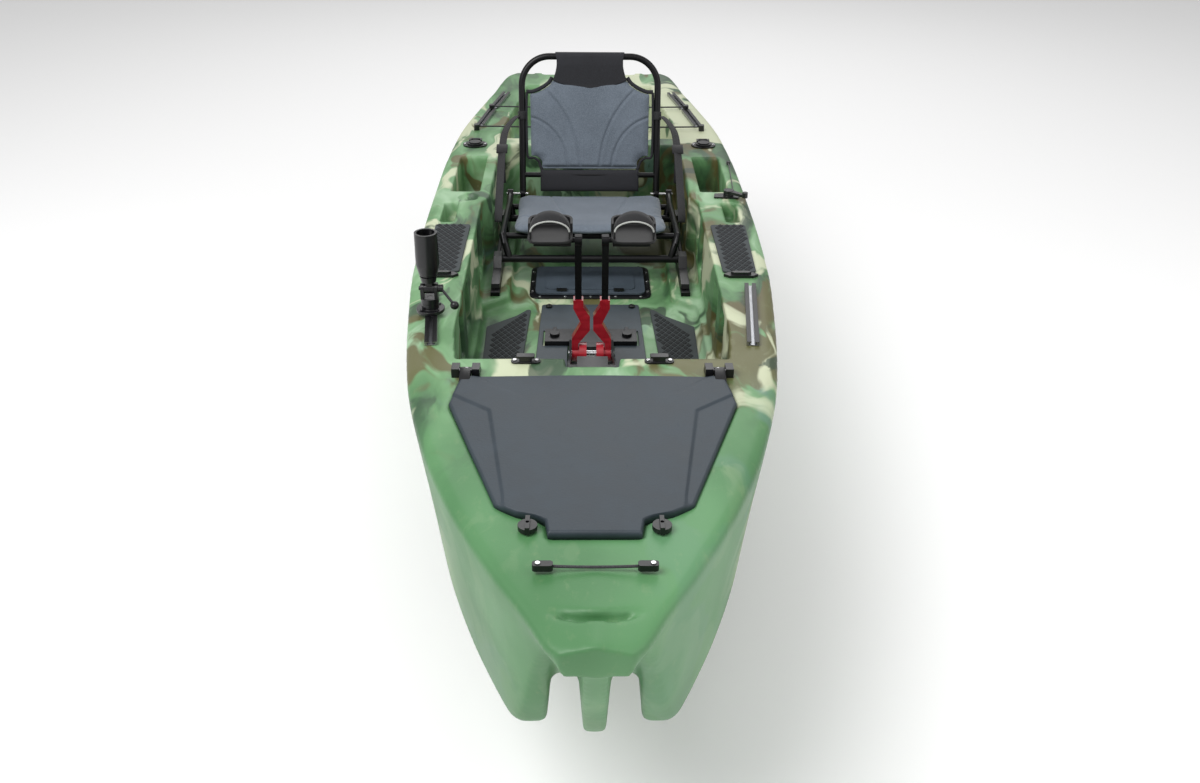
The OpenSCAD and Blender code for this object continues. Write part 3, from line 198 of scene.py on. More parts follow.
def plastic(name, colour, rough, grain=260.0, depth=0.00025, scuff=0.25):
    """Moulded plastic or rubber: fine grain, patchy sheen and pale scuffs."""
    p = Paint(name)
    where = p.place()
    patch = p.noise(where, 14, 4, 0.6)
    scratches = p.noise(p.place(scale=(1, 0.12, 1)), 190, 3, 0.7).between(0.62, 0.78)
    pale = tuple(min(1, c * 1.9 + 0.012) for c in colour)
    base = p.mix(patch.between(0.3, 0.75) * 0.3 + scratches * scuff * 0.5, colour, pale)
    p.set(Base_Color=base, Roughness=rough - 0.06 + patch * 0.14 + scratches * 0.1,
          Normal=p.bump(p.noise(where, grain, 2), depth, 0.6))
    return p.material


def metal(name, colour, rough, anodised=False):
    """Drawn metal: streaks along the length and a soft patchy sheen."""
    p = Paint(name)
    streak = p.noise(p.place(scale=(60, 4, 60)), 9, 3, 0.6)
    pale = tuple(min(1, c * 1.35 + 0.02) for c in colour)
    p.set(Base_Color=p.mix(streak.between(0.3, 0.8) * 0.5, colour, pale), Metallic=0.55 if anodised else 1.0,
          Roughness=rough + streak * 0.12, Normal=p.bump(streak, 0.0002, 0.3))
    return p.material


def painted_red():
    """Glossy red crank nylon with a fine flow pattern and worn, paler patches."""
    p = Paint("red_nylon")
    flow = p.noise(p.place(scale=(1, 1, 3)), 24, 3, 0.5, 0.6)
    worn = p.noise(p.place(), 60, 4, 0.7).between(0.66, 0.78)
    base = p.mix(flow.between(0.3, 0.8), (0.26, 0.006, 0.014), (0.42, 0.016, 0.028))
    p.set(Base_Color=p.mix(worn * 0.35, base, (0.75, 0.22, 0.20)), Roughness=0.26 + flow * 0.14, Coat_Weight=0.35,
          Normal=p.bump(p.noise(p.place(), 300, 2), 0.0002, 0.5))
    return p.material


def woven(name, dark, light, pitch, sheen=0.25, ribbed=False):
    """Woven cloth: over-and-under threads from two crossed sines, with heather in the yarn colour."""
    p = Paint(name)
    where = p.place()
    across = p.node("SeparateXYZ", {0: where})
    along = p.node("SeparateXYZ", {0: where}, out=1)
    up = p.node("SeparateXYZ", {0: where}, out=2)
    turn = 2 * math.pi / pitch
    warp = (across * turn).sine()
    weft = ((along * 0.7 + up * 0.72) * turn).sine()
    threads = weft.size() if ribbed else (warp * weft) * 0.5 + 0.5
    heather = p.noise(where, 1.2 / pitch, 2, 0.7)
    cloudy = p.noise(where, 11, 3, 0.55)
    base = p.mix(heather.between(0.34, 0.68) * 0.7 + threads * 0.3, dark, light)
    base = p.mix(cloudy.between(0.35, 0.75) * 0.25, base, tuple(c * 1.35 for c in light))
    p.set(Base_Color=base, Roughness=0.82 - threads * 0.12, Sheen_Weight=sheen, Sheen_Roughness=0.4,
          Normal=p.bump(threads * 0.7 + heather * 0.3, 0.0004, 0.8))
    return p.material


def slotted_rail():
    """Gear rail: black anodised lips on top, bare aluminium down in the slot."""
    p = Paint("track_aluminium")
    streak = p.noise(p.place(scale=(60, 4, 60)), 9, 3, 0.6)
    lip = p.node("SeparateXYZ", {0: p.place()}, out=2).between(0.3694, 0.3699)
    bare = p.mix(streak.between(0.3, 0.8), (0.30, 0.31, 0.33), (0.50, 0.51, 0.53))
    p.set(Base_Color=p.mix(lip, bare, (0.008, 0.008, 0.009)), Metallic=1 - lip * 0.8, Roughness=0.28 + streak * 0.12,
          Normal=p.bump(streak, 0.0002, 0.3))
    return p.material


PAINTS = {
    "hull_moulding": moulded_camouflage(),
    "hatch_plastic": plastic("hatch_plastic", (0.020, 0.030, 0.040), 0.5, 210, 0.0004),
    "grey_plastic": plastic("grey_plastic", (0.030, 0.042, 0.052), 0.46, 210, 0.0004),
    "black_plastic": plastic("black_plastic", (0.004, 0.004, 0.005), 0.30, scuff=0.12),
    "seal_rubber": plastic("seal_rubber", (0.012, 0.012, 0.012), 0.75),
    "elastic_cord": woven("elastic_cord", (0.008, 0.008, 0.009), (0.05, 0.05, 0.055), 0.0022),
    "deck_foam": plastic("deck_foam", (0.006, 0.008, 0.010), 0.78, 520, 0.0005, 0.5),
    "foam_ridge": plastic("foam_ridge", (0.034, 0.042, 0.045), 0.7, 520, 0.0004, 0.6),
    # Painted light: a paler copy of the hatch plastic for the floor hatch lid, lifting it out of the seat's shadow.
    "floor_hatch": plastic("floor_hatch", (0.050, 0.066, 0.084), 0.5, 210, 0.0004),
    "pedal_black": plastic("pedal_black", (0.003, 0.003, 0.0035), 0.55, scuff=0.06),
    # Pale colour of the tube along the pedal straps' front edge: a painted highlight.
    "highlight_rim": woven("highlight_rim", (0.30, 0.31, 0.30), (0.52, 0.53, 0.50), 0.0018),
    "fin_rubber": plastic("fin_rubber", (0.022, 0.026, 0.030), 0.5),
    "stainless_steel": metal("stainless_steel", (0.62, 0.62, 0.63), 0.20),
    "track_aluminium": slotted_rail(),
    "black_aluminium": metal("black_aluminium", (0.005, 0.005, 0.006), 0.28, anodised=True),
    "red_nylon": painted_red(),
    "seat_fabric": woven("seat_fabric", (0.075, 0.095, 0.122), (0.150, 0.180, 0.220), 0.0032),
    "band_fabric": woven("band_fabric", (0.004, 0.004, 0.006), (0.013, 0.014, 0.020), 0.0028, 0.12),
    "webbing": woven("webbing", (0.004, 0.004, 0.005), (0.016, 0.016, 0.018), 0.0024, 0.1, ribbed=True),
    "rudder_cord": woven("rudder_cord", (0.010, 0.010, 0.010), (0.06, 0.06, 0.06), 0.0016),
}
SLOT_OF = {row["node"]: row["material_slot"] for row in frame["record"]["subparts"]}
BODY_OF = {node: body for body, members in frame["record"]["behaviour"]["bodies"].items() for node in members}


# ---------------------------------------------------------------- mesh helpers
def strip_faces(rows, columns, wrap=False):
    """Quads of a grid of rows x columns points; wrap joins the last column to the first."""
    i, j = np.meshgrid(np.arange(rows - 1), np.arange(columns if wrap else columns - 1), indexing="ij")
    k = (j + 1) % columns
    return np.stack([i * columns + j, i * columns + k, (i + 1) * columns + k, (i + 1) * columns + j], -1).reshape(-1, 4)


def mesh_from(name, points, faces):
    mesh = bpy.data.meshes.new(name)
    mesh.from_pydata(np.asarray(points).reshape(-1, 3).tolist(), [], [list(map(int, f)) for f in faces])
    mesh.update()
    return mesh


def outward(mesh, merge=1e-6):
    """Merges doubles and turns every face outwards."""
    bm = bmesh.new()
    bm.from_mesh(mesh)
    bmesh.ops.remove_doubles(bm, verts=bm.verts, dist=merge)
    bmesh.ops.recalc_face_normals(bm, faces=bm.faces)
    bm.to_mesh(mesh)
    bm.free()


def add(name, mesh, slot, body, replaces=(), smooth=True, paint=None):
    """Links a finished mesh as a piece on its body, in the finish of its slot."""
    obj = bpy.data.objects.new(name, mesh)
    bpy.context.scene.collection.objects.link(obj)
    mesh.materials.clear()
    mesh.materials.append(PAINTS[paint or slot])
    mesh.polygons.foreach_set("use_smooth", np.full(len(mesh.polygons), smooth))
    if body:
        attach(obj, body)
    if replaces:
        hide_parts(*replaces)
    return obj


def applied(obj):
    """Bakes an object's modifiers into its mesh."""
    depsgraph = bpy.context.evaluated_depsgraph_get()
    mesh = bpy.data.meshes.new_from_object(obj.evaluated_get(depsgraph))
    obj.modifiers.clear()
    obj.data = mesh
    return obj


def modifier(obj, kind, **settings):
    made = obj.modifiers.new(kind.lower(), kind)
    for key, value in settings.items():
        setattr(made, key, value)
    return made


def smooth_path(points, step=0.006):
    """Catmull-Rom curve through the points, sampled about every step metres."""
    p = np.asarray(points, float)
    p = np.vstack([2 * p[0] - p[1], p, 2 * p[-1] - p[-2]])
    rows = []
    for a, b, c, d in zip(p[:-3], p[1:-2], p[2:-1], p[3:]):
        t = np.linspace(0, 1, max(3, int(np.linalg.norm(c - b) / step)), endpoint=False)[:, None]
        rows.append(0.5 * (2 * b + (c - a) * t + (2 * a - 5 * b + 4 * c - d) * t ** 2
                           + (3 * b - a - 3 * c + d) * t ** 3))
    return np.vstack([*rows, p[-2:-1]])


def frames_along(path, up=(0, 0, 1)):
    """Unit sides and normals along a path; side = tangent x up, normal = side x tangent."""
    t = np.gradient(path, axis=0)
    t /= np.linalg.norm(t, axis=1)[:, None]
    side = np.cross(t, np.asarray(up, float))
    length = np.linalg.norm(side, axis=1)[:, None]
    side = np.where(length > 1e-6, side / np.maximum(length, 1e-6), [1.0, 0.0, 0.0])
    return side, np.cross(side, t)


def tube_mesh(name, path, radius, sides=14, up=(0, 0, 1)):
    """Round tube: path + r (cos a side + sin a normal), its ends closed by one face each."""
    side, normal = frames_along(path, up)
    a = np.linspace(0, 2 * np.pi, sides, endpoint=False)
    r = np.broadcast_to(np.asarray(radius, float), len(path))[:, None, None]
    points = path[:, None] + r * (np.cos(a)[:, None] * side[:, None] + np.sin(a)[:, None] * normal[:, None])
    faces = strip_faces(len(path), sides, wrap=True).tolist()
    faces += [list(range(sides))[::-1], [(len(path) - 1) * sides + k for k in range(sides)]]
    mesh = mesh_from(name, points, faces)
    outward(mesh)
    return mesh


def band_mesh(name, path, width, thick, up=(0, 0, 1)):
    """Flat strap: a rounded rectangle width x thick carried along the path, width along the side vector."""
    side, normal = frames_along(path, up)
    w, h = width / 2, thick / 2
    section = np.array([[-w, -h * 0.5], [-w + h, -h], [0, -h * 0.8], [w - h, -h], [w, -h * 0.5],
                        [w, h * 0.5], [w - h, h], [0, h * 0.8], [-w + h, h], [-w, h * 0.5]])
    points = (path[:, None] + section[None, :, :1] * side[:, None] + section[None, :, 1:] * normal[:, None])
    n = len(section)
    faces = strip_faces(len(path), n, wrap=True).tolist()
    faces += [list(range(n))[::-1], [(len(path) - 1) * n + k for k in range(n)]]
    mesh = mesh_from(name, points, faces)
    outward(mesh)
    return mesh


def joined(name, meshes):
    """One mesh from several."""
    bm = bmesh.new()
    for mesh in meshes:
        bm.from_mesh(mesh)
    made = bpy.data.meshes.new(name)
    bm.to_mesh(made)
    bm.free()
    return made


def mirrored_mesh(mesh):
    """The same mesh across X = 0, with its faces turned back outwards."""
    made = mesh.copy()
    made.transform(Matrix.Scale(-1, 4, (1, 0, 0)))
    made.flip_normals()
    return made


def softened(node, edge=0.0012, angle=32, paint=None):
    """A CAD node's own solid with its edges rounded by a narrow bevel."""
    bm = bmesh.new()
    bm.from_mesh(NODES[node].data)
    bmesh.ops.remove_doubles(bm, verts=bm.verts, dist=2e-6)
    bmesh.ops.dissolve_limit(bm, angle_limit=math.radians(0.6), verts=bm.verts, edges=bm.edges)
    mesh = bpy.data.meshes.new(node + "_shape")
    bm.to_mesh(mesh)
    bm.free()
    obj = add(node + "_shape", mesh, SLOT_OF[node], BODY_OF[node], replaces=[node], paint=paint)
    modifier(obj, "BEVEL", width=edge, segments=2, limit_method="ANGLE", angle_limit=math.radians(angle))
    modifier(obj, "WEIGHTED_NORMAL", keep_sharp=True)
    return obj


# ---------------------------------------------------------------- hull
HALF_BREADTH = [(-1650, 62), (-1630, 78), (-1560, 114), (-1450, 175), (-1260, 265), (-1060, 335), (-815, 393),
                (-510, 432), (-200, 457), (150, 465), (500, 463), (880, 448), (1300, 390), (1560, 338), (1625, 318),
                (1650, 298)]
BILGE_HALF = [(-1650, 54), (-1560, 92), (-1450, 150), (-1260, 232), (-1060, 296), (-815, 350), (-510, 392),
              (-200, 416), (150, 424), (500, 422), (880, 404), (1300, 348), (1560, 298), (1650, 262)]
TUNNEL_HALF = [(-1650, 36), (-1560, 74), (-1450, 84), (-1260, 90), (-1060, 100), (-815, 118), (-510, 134),
               (150, 150), (880, 150), (1300, 140), (1650, 120)]
BILGE_Z = [(-1650, 306), (-1575, 290), (-1535, 215), (-1500, 100), (-1470, 36), (-1430, 15), (-1300, 6), (0, 5),
           (1200, 8), (1450, 26), (1650, 74)]
TUNNEL_Z = [(-1650, 309), (-1575, 296), (-1535, 240), (-1480, 160), (-1400, 130), (-1200, 112), (-900, 84),
            (-510, 62), (150, 55), (1200, 58), (1450, 74), (1650, 112)]
KEEL_Z = [(-1650, 304), (-1615, 286), (-1560, 170), (-1500, 46), (-1470, 12), (-1440, 0), (1350, 0), (1500, 10),
          (1650, 60)]
SHEER = [(-1650, -4), (-1500, 0), (1430, 0), (1560, 13), (1650, 20)]
RIDGE = [(-1650, 1), (-1600, 0.9), (-1450, 0.8), (-1380, 0), (1650, 0)]
DECK, CROWN, WELL = 360, 9, 58
HULL_VOXEL, HULL_TRIANGLES = 0.0062, 190000


def curve(table, s):
    """Cubic pieces through the table's points, with centred (harmonic) slopes, at the places s."""
    x, v = np.array(table, float).T
    s = np.clip(s, x[0], x[-1])
    secant = np.diff(v) / np.diff(x)
    a, b = secant[:-1], secant[1:]
    slope = np.concatenate([[0], np.where(a * b > 0, 2 * a * b / np.where(a + b == 0, 1, a + b), 0), [0]])
    i = np.clip(np.searchsorted(x, s, side="right") - 1, 0, len(x) - 2)
    h, t = x[i + 1] - x[i], (s - x[i]) / (x[i + 1] - x[i])
    return (v[i] * (1 + 2 * t) * (1 - t) ** 2 + h * slope[i] * t * (1 - t) ** 2
            + v[i + 1] * t ** 2 * (3 - 2 * t) - h * slope[i + 1] * t ** 2 * (1 - t))


def deck_half(y):
    """Half width of the deck inside its rounded edge."""
    b = curve(HALF_BREADTH, y)
    return b - 30 * np.minimum(1, b / 200)


def hull_skin():
    """Loft: at each station a half section from the deck's middle round the gunwale, flared side, bilge, tunnel and
    keel, mirrored; the side takes a gentle belly, a sine of its depth, so no flat facets are left."""
    y = np.concatenate([np.linspace(-1650, -1380, 90), np.linspace(-1374, 1640, 300), [1650]])
    b, bo, bi = curve(HALF_BREADTH, y), curve(BILGE_HALF, y), curve(TUNNEL_HALF, y)
    zb = np.minimum(curve(BILGE_Z, y), DECK - 30)
    zt = np.minimum(curve(TUNNEL_Z, y), DECK - 26)
    zk = np.minimum(curve(KEEL_Z, y), zt - 4)
    zs, crease = DECK + curve(SHEER, y), deck_half(y)
    r, rt = np.minimum(34, (bo - bi) * 0.3), np.minimum(14, (zt - zb) * 0.3 + 1)
    e, ez = np.minimum(8, 0.12 * bi), np.minimum(6, 0.3 * (zt - zb))
    kt = np.minimum(28, bi * 0.62)
    kb = np.minimum(20, kt - 1)
    top = DECK + CROWN * curve(RIDGE, y)
    deck = [(crease * t, top + (zs - top) * t) for t in np.linspace(0, 1, 9)]
    edge = [(crease + (b - crease) * np.sin(a), zs - 15 * (1 - np.cos(a))) for a in np.linspace(0.3, np.pi / 2, 5)]
    t = np.linspace(0, 1, 14)[1:-1]
    belly = [(b + (bo - b) * k ** 1.15 - 3.0 * np.sin(np.pi * k) * (zs - zb) / 350,
              (zs - 15) + (zb + r - zs + 15) * k) for k in t]
    turn = [(bo - r + r * np.cos(a), zb + r - r * np.sin(a)) for a in np.linspace(0, np.pi / 2, 6)]
    under = [(bi + rt, zb), (bi + 0.3 * rt, zb + 0.3 * rt), (bi, zb + rt), (bi - e, zt - ez), (bi - 2 * e, zt),
             (kt + e, zt), (kt, zt - np.minimum(10, 0.5 * (zt - zk))), (kb, zk + np.minimum(6, 0.3 * (zt - zk))),
             (kb - np.minimum(5, 0.3 * kb), zk), (0 * kb, zk)]
    half = deck + edge + belly + turn + under
    x = np.stack([h[0] for h in half], 1)
    z = np.stack([h[1] * np.ones_like(y) for h in half], 1)
    x = np.concatenate([x, -x[:, -2:0:-1]], 1)
    z = np.concatenate([z, z[:, -2:0:-1]], 1)
    points = np.stack([x, np.repeat(y[:, None], x.shape[1], 1), z], -1) * MM
    n, m = x.shape
    faces = strip_faces(n, m, wrap=True).tolist()
    # Each end closes on its own middle line, so both side hulls and the keel get their own facets.
    h = len(half)
    for row in (0, n - 1):
        faces += [[row * m + k, row * m + k + 1, row * m + (m - k - 1) % m, row * m + (m - k) % m]
                  for k in range(1, h - 2)]
        faces += [[row * m, row * m + 1, row * m + m - 1], [row * m + h - 2, row * m + h - 1, row * m + h]]
    mesh = mesh_from("hull", points, faces)
    outward(mesh)
    return mesh


def inset_outline(points, by):
    """A closed outline with every side drawn in by the distance."""
    p = np.asarray(points, float)
    area = np.sum(p[:, 0] * np.roll(p[:, 1], -1) - np.roll(p[:, 0], -1) * p[:, 1])
    d = np.roll(p, -1, 0) - p
    normal = np.stack([-d[:, 1], d[:, 0]], 1) / np.linalg.norm(d, axis=1)[:, None] * np.sign(area)
    before = np.roll(normal, 1, 0)
    return p + by * (normal + before) / (1 + np.sum(normal * before, 1))[:, None]


def pit(outline, low, high, slope=0.0):
    """Cutter: the outline at the top, and the same drawn in by the slope at its floor."""
    top = np.asarray(outline, float)
    bottom = inset_outline(top, slope) if slope else top
    n = len(top)
    points = np.vstack([np.column_stack([bottom, np.full(n, low)]), np.column_stack([top, np.full(n, high)])]) * MM
    faces = strip_faces(2, n, wrap=True).tolist() + [list(range(n)), list(range(n, 2 * n))]
    mesh = mesh_from("pit", points, faces)
    outward(mesh)
    return mesh


def mirrored_outline(half):
    return half + [(-x, y) for x, y in half[::-1]]


def box_pit(x0, x1, y0, y1, low, high, slope=0.0):
    return pit([(x0, y0), (x1, y0), (x1, y1), (x0, y1)], low, high, slope)


def side_pit(side, x0, x1, y0, y1, low, high, slope=0.0):
    """A box cut between two distances from the middle line, on one side of the boat."""
    return box_pit(*sorted((side * x0, side * x1)), y0, y1, low, high, slope)


def round_pit(x, y, r, low, high):
    a = np.linspace(0, 2 * np.pi, 32, endpoint=False)
    return pit(np.column_stack([x + r * np.cos(a), y + r * np.sin(a)]), low, high)


def hull_cutters():
    """Everything cut out of the moulding: cockpit, drive well, tank well, hatches, pockets, grips and holes."""
    top = DECK + 60
    cut = [
        pit(mirrored_outline([(302, -720), (318, -560), (318, 250), (296, 300), (296, 790)]), 170, top, 8),
        pit(mirrored_outline([(282, -700), (298, -560), (298, -40), (230, 15), (230, 770)]), 140, 182, 4),
        box_pit(-WELL, WELL, -756, -242, -40, top),
        pit(mirrored_outline([(307.2, 860), (307.3, 960), (241.4, 1520)]), 225, top, 20),
        pit(mirrored_outline([(83.3, -1373), (89.3, -1333), (105, -1320), (135, -1311), (174, -1283), (174, -1282),
                              (296, -925), (282, -824), (250, -812)]), 352, top),
        pit(mirrored_outline([(133.3, -1250), (255, -925), (237, -853)]), 125, top, 12),
        box_pit(-151, 151, 79, 256, 66, 160),
        pit([(-74 + 148 * t / 10, -1586 + 22 * (t / 5 - 1) ** 2) for t in range(11)]
            + [(74 - 148 * t / 10, -1568 + 14 * (t / 5 - 1) ** 2) for t in range(11)], 344, top),
        round_pit(-358, 293, 28, 346, top),
    ]
    for side in (1, -1):
        cut.append(side_pit(side, 326, 416, 342, 668, 240, top, 8))
        cut.append(side_pit(side, 380, 424, 95, 250, 310, top, 5))
        cut.append(round_pit(side * 378, 786, 28, 172, top))
        cut.append(round_pit(side * 178, 640, 14, -40, 200))
        # Tall recesses and slots moulded into the cockpit's side walls.
        cut += [side_pit(side, 300, 322 + deep, y0, y1, low, 338)
                for y0, y1, low, deep in ((-610, -545, 215, 9), (-475, -405, 200, 9), (-330, -250, 215, 8),
                                          (60, 130, 200, 10), (180, 225, 215, 10))]
        cut += [side_pit(side, 285, 302, y0, y1, 215, 330) for y0, y1 in ((330, 470), (520, 680))]
    return cut


def moulded_hull():
    """The loft less every cutter, then a fine voxel skin that rounds its edges, smoothed and thinned."""
    obj = add("hull_moulding", hull_skin(), "hull_moulding", "hull", replaces=["hull"])
    cutters = []
    for k, mesh in enumerate(hull_cutters()):
        tool = bpy.data.objects.new(f"cutter_{k}", mesh)
        bpy.context.scene.collection.objects.link(tool)
        modifier(obj, "BOOLEAN", object=tool, operation="DIFFERENCE", solver="EXACT")
        cutters.append(tool)
    applied(obj)
    for tool in cutters:
        bpy.data.objects.remove(tool, do_unlink=True)
    modifier(obj, "REMESH", mode="VOXEL", voxel_size=HULL_VOXEL, use_smooth_shade=True)
    modifier(obj, "SMOOTH", factor=0.5, iterations=4)
    applied(obj)
    faces = len(obj.data.polygons) * 2
    modifier(obj, "DECIMATE", ratio=min(1.0, HULL_TRIANGLES / faces))
    applied(obj)
    obj.data.polygons.foreach_set("use_smooth", np.ones(len(obj.data.polygons), bool))
    obj.data.materials.clear()
    obj.data.materials.append(PAINTS["hull_moulding"])


# ---------------------------------------------------------------- bow lid
LID_EDGE = [(-1370, 80.3), (-1330, 86.3), (-1322, 97), (-1317, 107.3), (-1311, 128), (-1308, 137.3), (-1292, 162),
            (-1280, 177.3), (-925, 293), (-827, 279), (-815, 247)]


def lid_shape():
    """Lid: rows across at each y, half width from the outline; its top has a slight crown, side flats 3 mm lower
    outside a bent line, a crease running in from each rear corner, and a rounded rim."""
    y = np.unique(np.concatenate([np.linspace(-1370, -1300, 30), np.linspace(-1300, -840, 150),
                                  np.linspace(-840, -815, 16)]))
    edge = np.interp(y, *np.array(LID_EDGE).T)
    u = np.sin(np.linspace(-np.pi / 2, np.pi / 2, 161)) * 0.45 + np.linspace(-1, 1, 161) * 0.55
    x = edge[:, None] * u[None]
    yy = np.repeat(y[:, None], x.shape[1], 1)
    rim = np.minimum(edge[:, None] - np.abs(x), np.minimum(yy + 1370, -815 - yy))
    bend = np.interp(y, [-1370, -1262, -960, -885], [158, 163, 208, 300])[:, None]
    step = np.clip((np.abs(x) - bend) / 6 + 0.5, 0, 1)
    z = 371.6 - 3.2 * step * step * (3 - 2 * step) + 1.2 * (1 - (x / 293) ** 2)
    a, b = np.array([246.0, -818.0]), np.array([138.0, -918.0])
    d = (b - a) / np.linalg.norm(b - a)
    rx, ry = np.abs(x) - a[0], yy - a[1]
    along, off = rx * d[0] + ry * d[1], rx * -d[1] + ry * d[0]
    fade = np.clip(1 - along / np.linalg.norm(b - a), 0, 1)
    z -= fade * 2.6 / (1 + np.exp(np.clip(off / 1.6, -30, 30))) * (along > -20)
    z -= 4.5 * np.clip(1 - rim / 5, 0, 1) ** 2
    top = np.stack([x, yy, z], -1)
    bottom = np.stack([x, yy, np.full_like(x, 355.2)], -1)
    n, m = x.shape
    grid = strip_faces(n, m)
    ring = np.concatenate([np.arange(m), np.arange(1, n) * m + m - 1, (n - 1) * m + np.arange(m - 2, -1, -1),
                           np.arange(n - 2, 0, -1) * m])
    wall = np.stack([ring, np.roll(ring, -1), np.roll(ring, -1) + n * m, ring + n * m], -1)
    mesh = mesh_from("lid", np.concatenate([top, bottom]).reshape(-1, 3) * MM,
                     np.concatenate([grid, grid[:, ::-1] + n * m, wall]).tolist())
    outward(mesh)
    return mesh


def bow_lid():
    """The lid and its two hinge lugs, each a side view drawn in the y-z plane and given a width."""
    add("bow_lid_moulding", lid_shape(), "hatch_plastic", "bow_lid", replaces=["bow_lid"])
    lugs = []
    for side in (1, -1):
        y = np.array([-845, -845, -812, -799, -792, -791.5, -795])
        z = np.array([366, 369, 378, 380, 377, 371, 361.5])
        profile = np.stack([y, z], 1)
        x = np.array([side * 257.5, side * 280.5])
        points = np.concatenate([np.column_stack([np.full(len(profile), k), profile]) for k in x]) * MM
        n = len(profile)
        faces = strip_faces(2, n, wrap=True).tolist() + [list(range(n)), list(range(n, 2 * n))]
        mesh = mesh_from("lug", points, faces)
        outward(mesh)
        lugs.append(mesh)
    lug = add("bow_lid_lugs", joined("lugs", lugs), "hatch_plastic", "bow_lid", paint="black_plastic")
    modifier(lug, "BEVEL", width=0.0015, segments=2, limit_method="ANGLE")


# ---------------------------------------------------------------- foam pads
def inside(points, outline, margin):
    """Which points lie inside a convex outline by at least the margin."""
    p = np.asarray(outline, float)
    if np.sum(p[:, 0] * np.roll(p[:, 1], -1) - np.roll(p[:, 0], -1) * p[:, 1]) < 0:
        p = p[::-1]
    d = np.roll(p, -1, 0) - p
    n = np.stack([-d[:, 1], d[:, 0]], 1) / np.linalg.norm(d, axis=1)[:, None]
    return np.all(((points[:, None] - p[None]) * n[None]).sum(-1) >= margin, axis=1)


def diamonds(outline, z, pitch=(19.0, 30.0)):
    """Low diamond blocks set in staggered rows over an outline; each is a frustum, 1 mm high."""
    p = np.asarray(outline, float)
    centre, reach = p.mean(0), np.ptp(p, axis=0).max() * 0.75
    i, j = np.meshgrid(np.arange(-40, 41), np.arange(-40, 41), indexing="ij")
    spots = np.stack([(i + j) * pitch[0] / 2, (i - j) * pitch[1] / 2], -1).reshape(-1, 2)
    spots = spots[np.hypot(*spots.T) < reach * 1.4] + centre
    spots = spots[inside(spots, outline, 9.0)]
    shape = np.array([[1, 0], [0, 1], [-1, 0], [0, -1]], float) * [pitch[0] / 2 - 1.5, pitch[1] / 2 - 2.3]
    low = np.column_stack([shape, np.full(4, z - 0.4)])
    high = np.column_stack([shape * 0.84, np.full(4, z + 1.0)])
    block = np.vstack([low, high])
    points = (block[None] + np.column_stack([spots, np.zeros(len(spots))])[:, None]).reshape(-1, 3) * MM
    faces = np.array([[0, 1, 5, 4], [1, 2, 6, 5], [2, 3, 7, 6], [3, 0, 4, 7], [4, 5, 6, 7], [3, 2, 1, 0]])
    return mesh_from("diamonds", points, (faces[None] + 8 * np.arange(len(spots))[:, None, None]).reshape(-1, 4))


def foam_diamonds():
    """Grip pads' tread: rows of raised diamonds cut off at each pad's outline, on the deck and on the floor."""
    d = deck_half(np.array([-258.0, 62.0]))
    deck = [(d[0] - 6, -258), (d[1] - 6, 62), (332, 62), (334, -258)]
    floor = [(187, -620), (268, -530), (276, -130), (204, -62), (166, -10)]
    parts = []
    for outline, z in ((deck, 366.2), (floor, 146.2)):
        mesh = diamonds(outline, z - 0.4)
        parts += [mesh, mirrored_mesh(mesh)]
    add("foam_diamonds", joined("foam_diamonds", parts), "deck_foam", "hull", smooth=False)


# ---------------------------------------------------------------- seat
HINGE_Y, HINGE_Z, LEAN = 600.0, 258.962, math.radians(16)
SEAT_SLOPE = math.radians(6)
BACK_HALF, BACK_H = 214.0, 425.0


def leaned(points):
    """Points drawn upright as x, depth, height over the hinge line, leaned back into place, in metres."""
    p = np.asarray(points, float)
    c, s = math.cos(LEAN), math.sin(LEAN)
    return np.stack([p[..., 0], HINGE_Y + p[..., 1] * c + p[..., 2] * s, HINGE_Z - p[..., 1] * s + p[..., 2] * c],
                    -1) * MM


def rounded_loop():
    """The backrest tube's centre line: up one side, round two wide corners and down the other."""
    r = 88.0
    a = np.radians(np.linspace(0, 90, 15))
    left = np.column_stack([-BACK_HALF + r * (1 - np.cos(a)), 0 * a, BACK_H - r * (1 - np.sin(a))])
    right = left[::-1] * [-1, 1, 1]
    foot = np.linspace(2, BACK_H - r, 30)[:-1]
    up = np.column_stack([np.full(29, -BACK_HALF), np.zeros(29), foot])
    across = np.column_stack([np.linspace(-BACK_HALF + r, BACK_HALF - r, 22)[1:-1], np.zeros(20), np.full(20, BACK_H)])
    return np.vstack([up, left, across, right, up[::-1] * [-1, 1, 1]])


def seat_tubes():
    """Backrest loop, its low crossbar and the lugs round the hinge pins, all tubes."""
    tubes = [tube_mesh("loop", leaned(rounded_loop()), 0.0102, 20, up=(0, 1, 0))]
    bar = np.column_stack([np.linspace(-BACK_HALF, BACK_HALF, 30), np.zeros(30), np.full(30, 60.0)])
    tubes.append(tube_mesh("bar", leaned(bar), 0.0082, 16))
    for side in (1, -1):
        lug = np.column_stack([np.linspace(side * 206, side * 222, 3), np.zeros(3), np.zeros(3)])
        tubes.append(tube_mesh("lug", leaned(lug), 0.0138, 28))
    obj = add("back_frame_tubes", joined("back_frame_tubes", tubes), "black_aluminium", "seat_back",
              replaces=["back_frame"])
    modifier(obj, "BEVEL", width=0.0015, segments=2, limit_method="ANGLE", angle_limit=math.radians(40))
    modifier(obj, "WEIGHTED_NORMAL", keep_sharp=True)


def near_line(points, line):
    """Distance of each 2-D point from a line of short segments."""
    a, b = line[:-1], line[1:]
    d = b - a
    t = np.clip(((points[:, None] - a) * d).sum(-1) / (d * d).sum(-1), 0, 1)
    return np.sqrt((((points[:, None] - a) - t[..., None] * d) ** 2).sum(-1)).min(1)


def line_2d(points, step=6.0):
    """A smooth line through 2-D points."""
    p = np.column_stack([np.asarray(points, float), np.zeros(len(points))])
    return smooth_path(p, step)[:, :2]


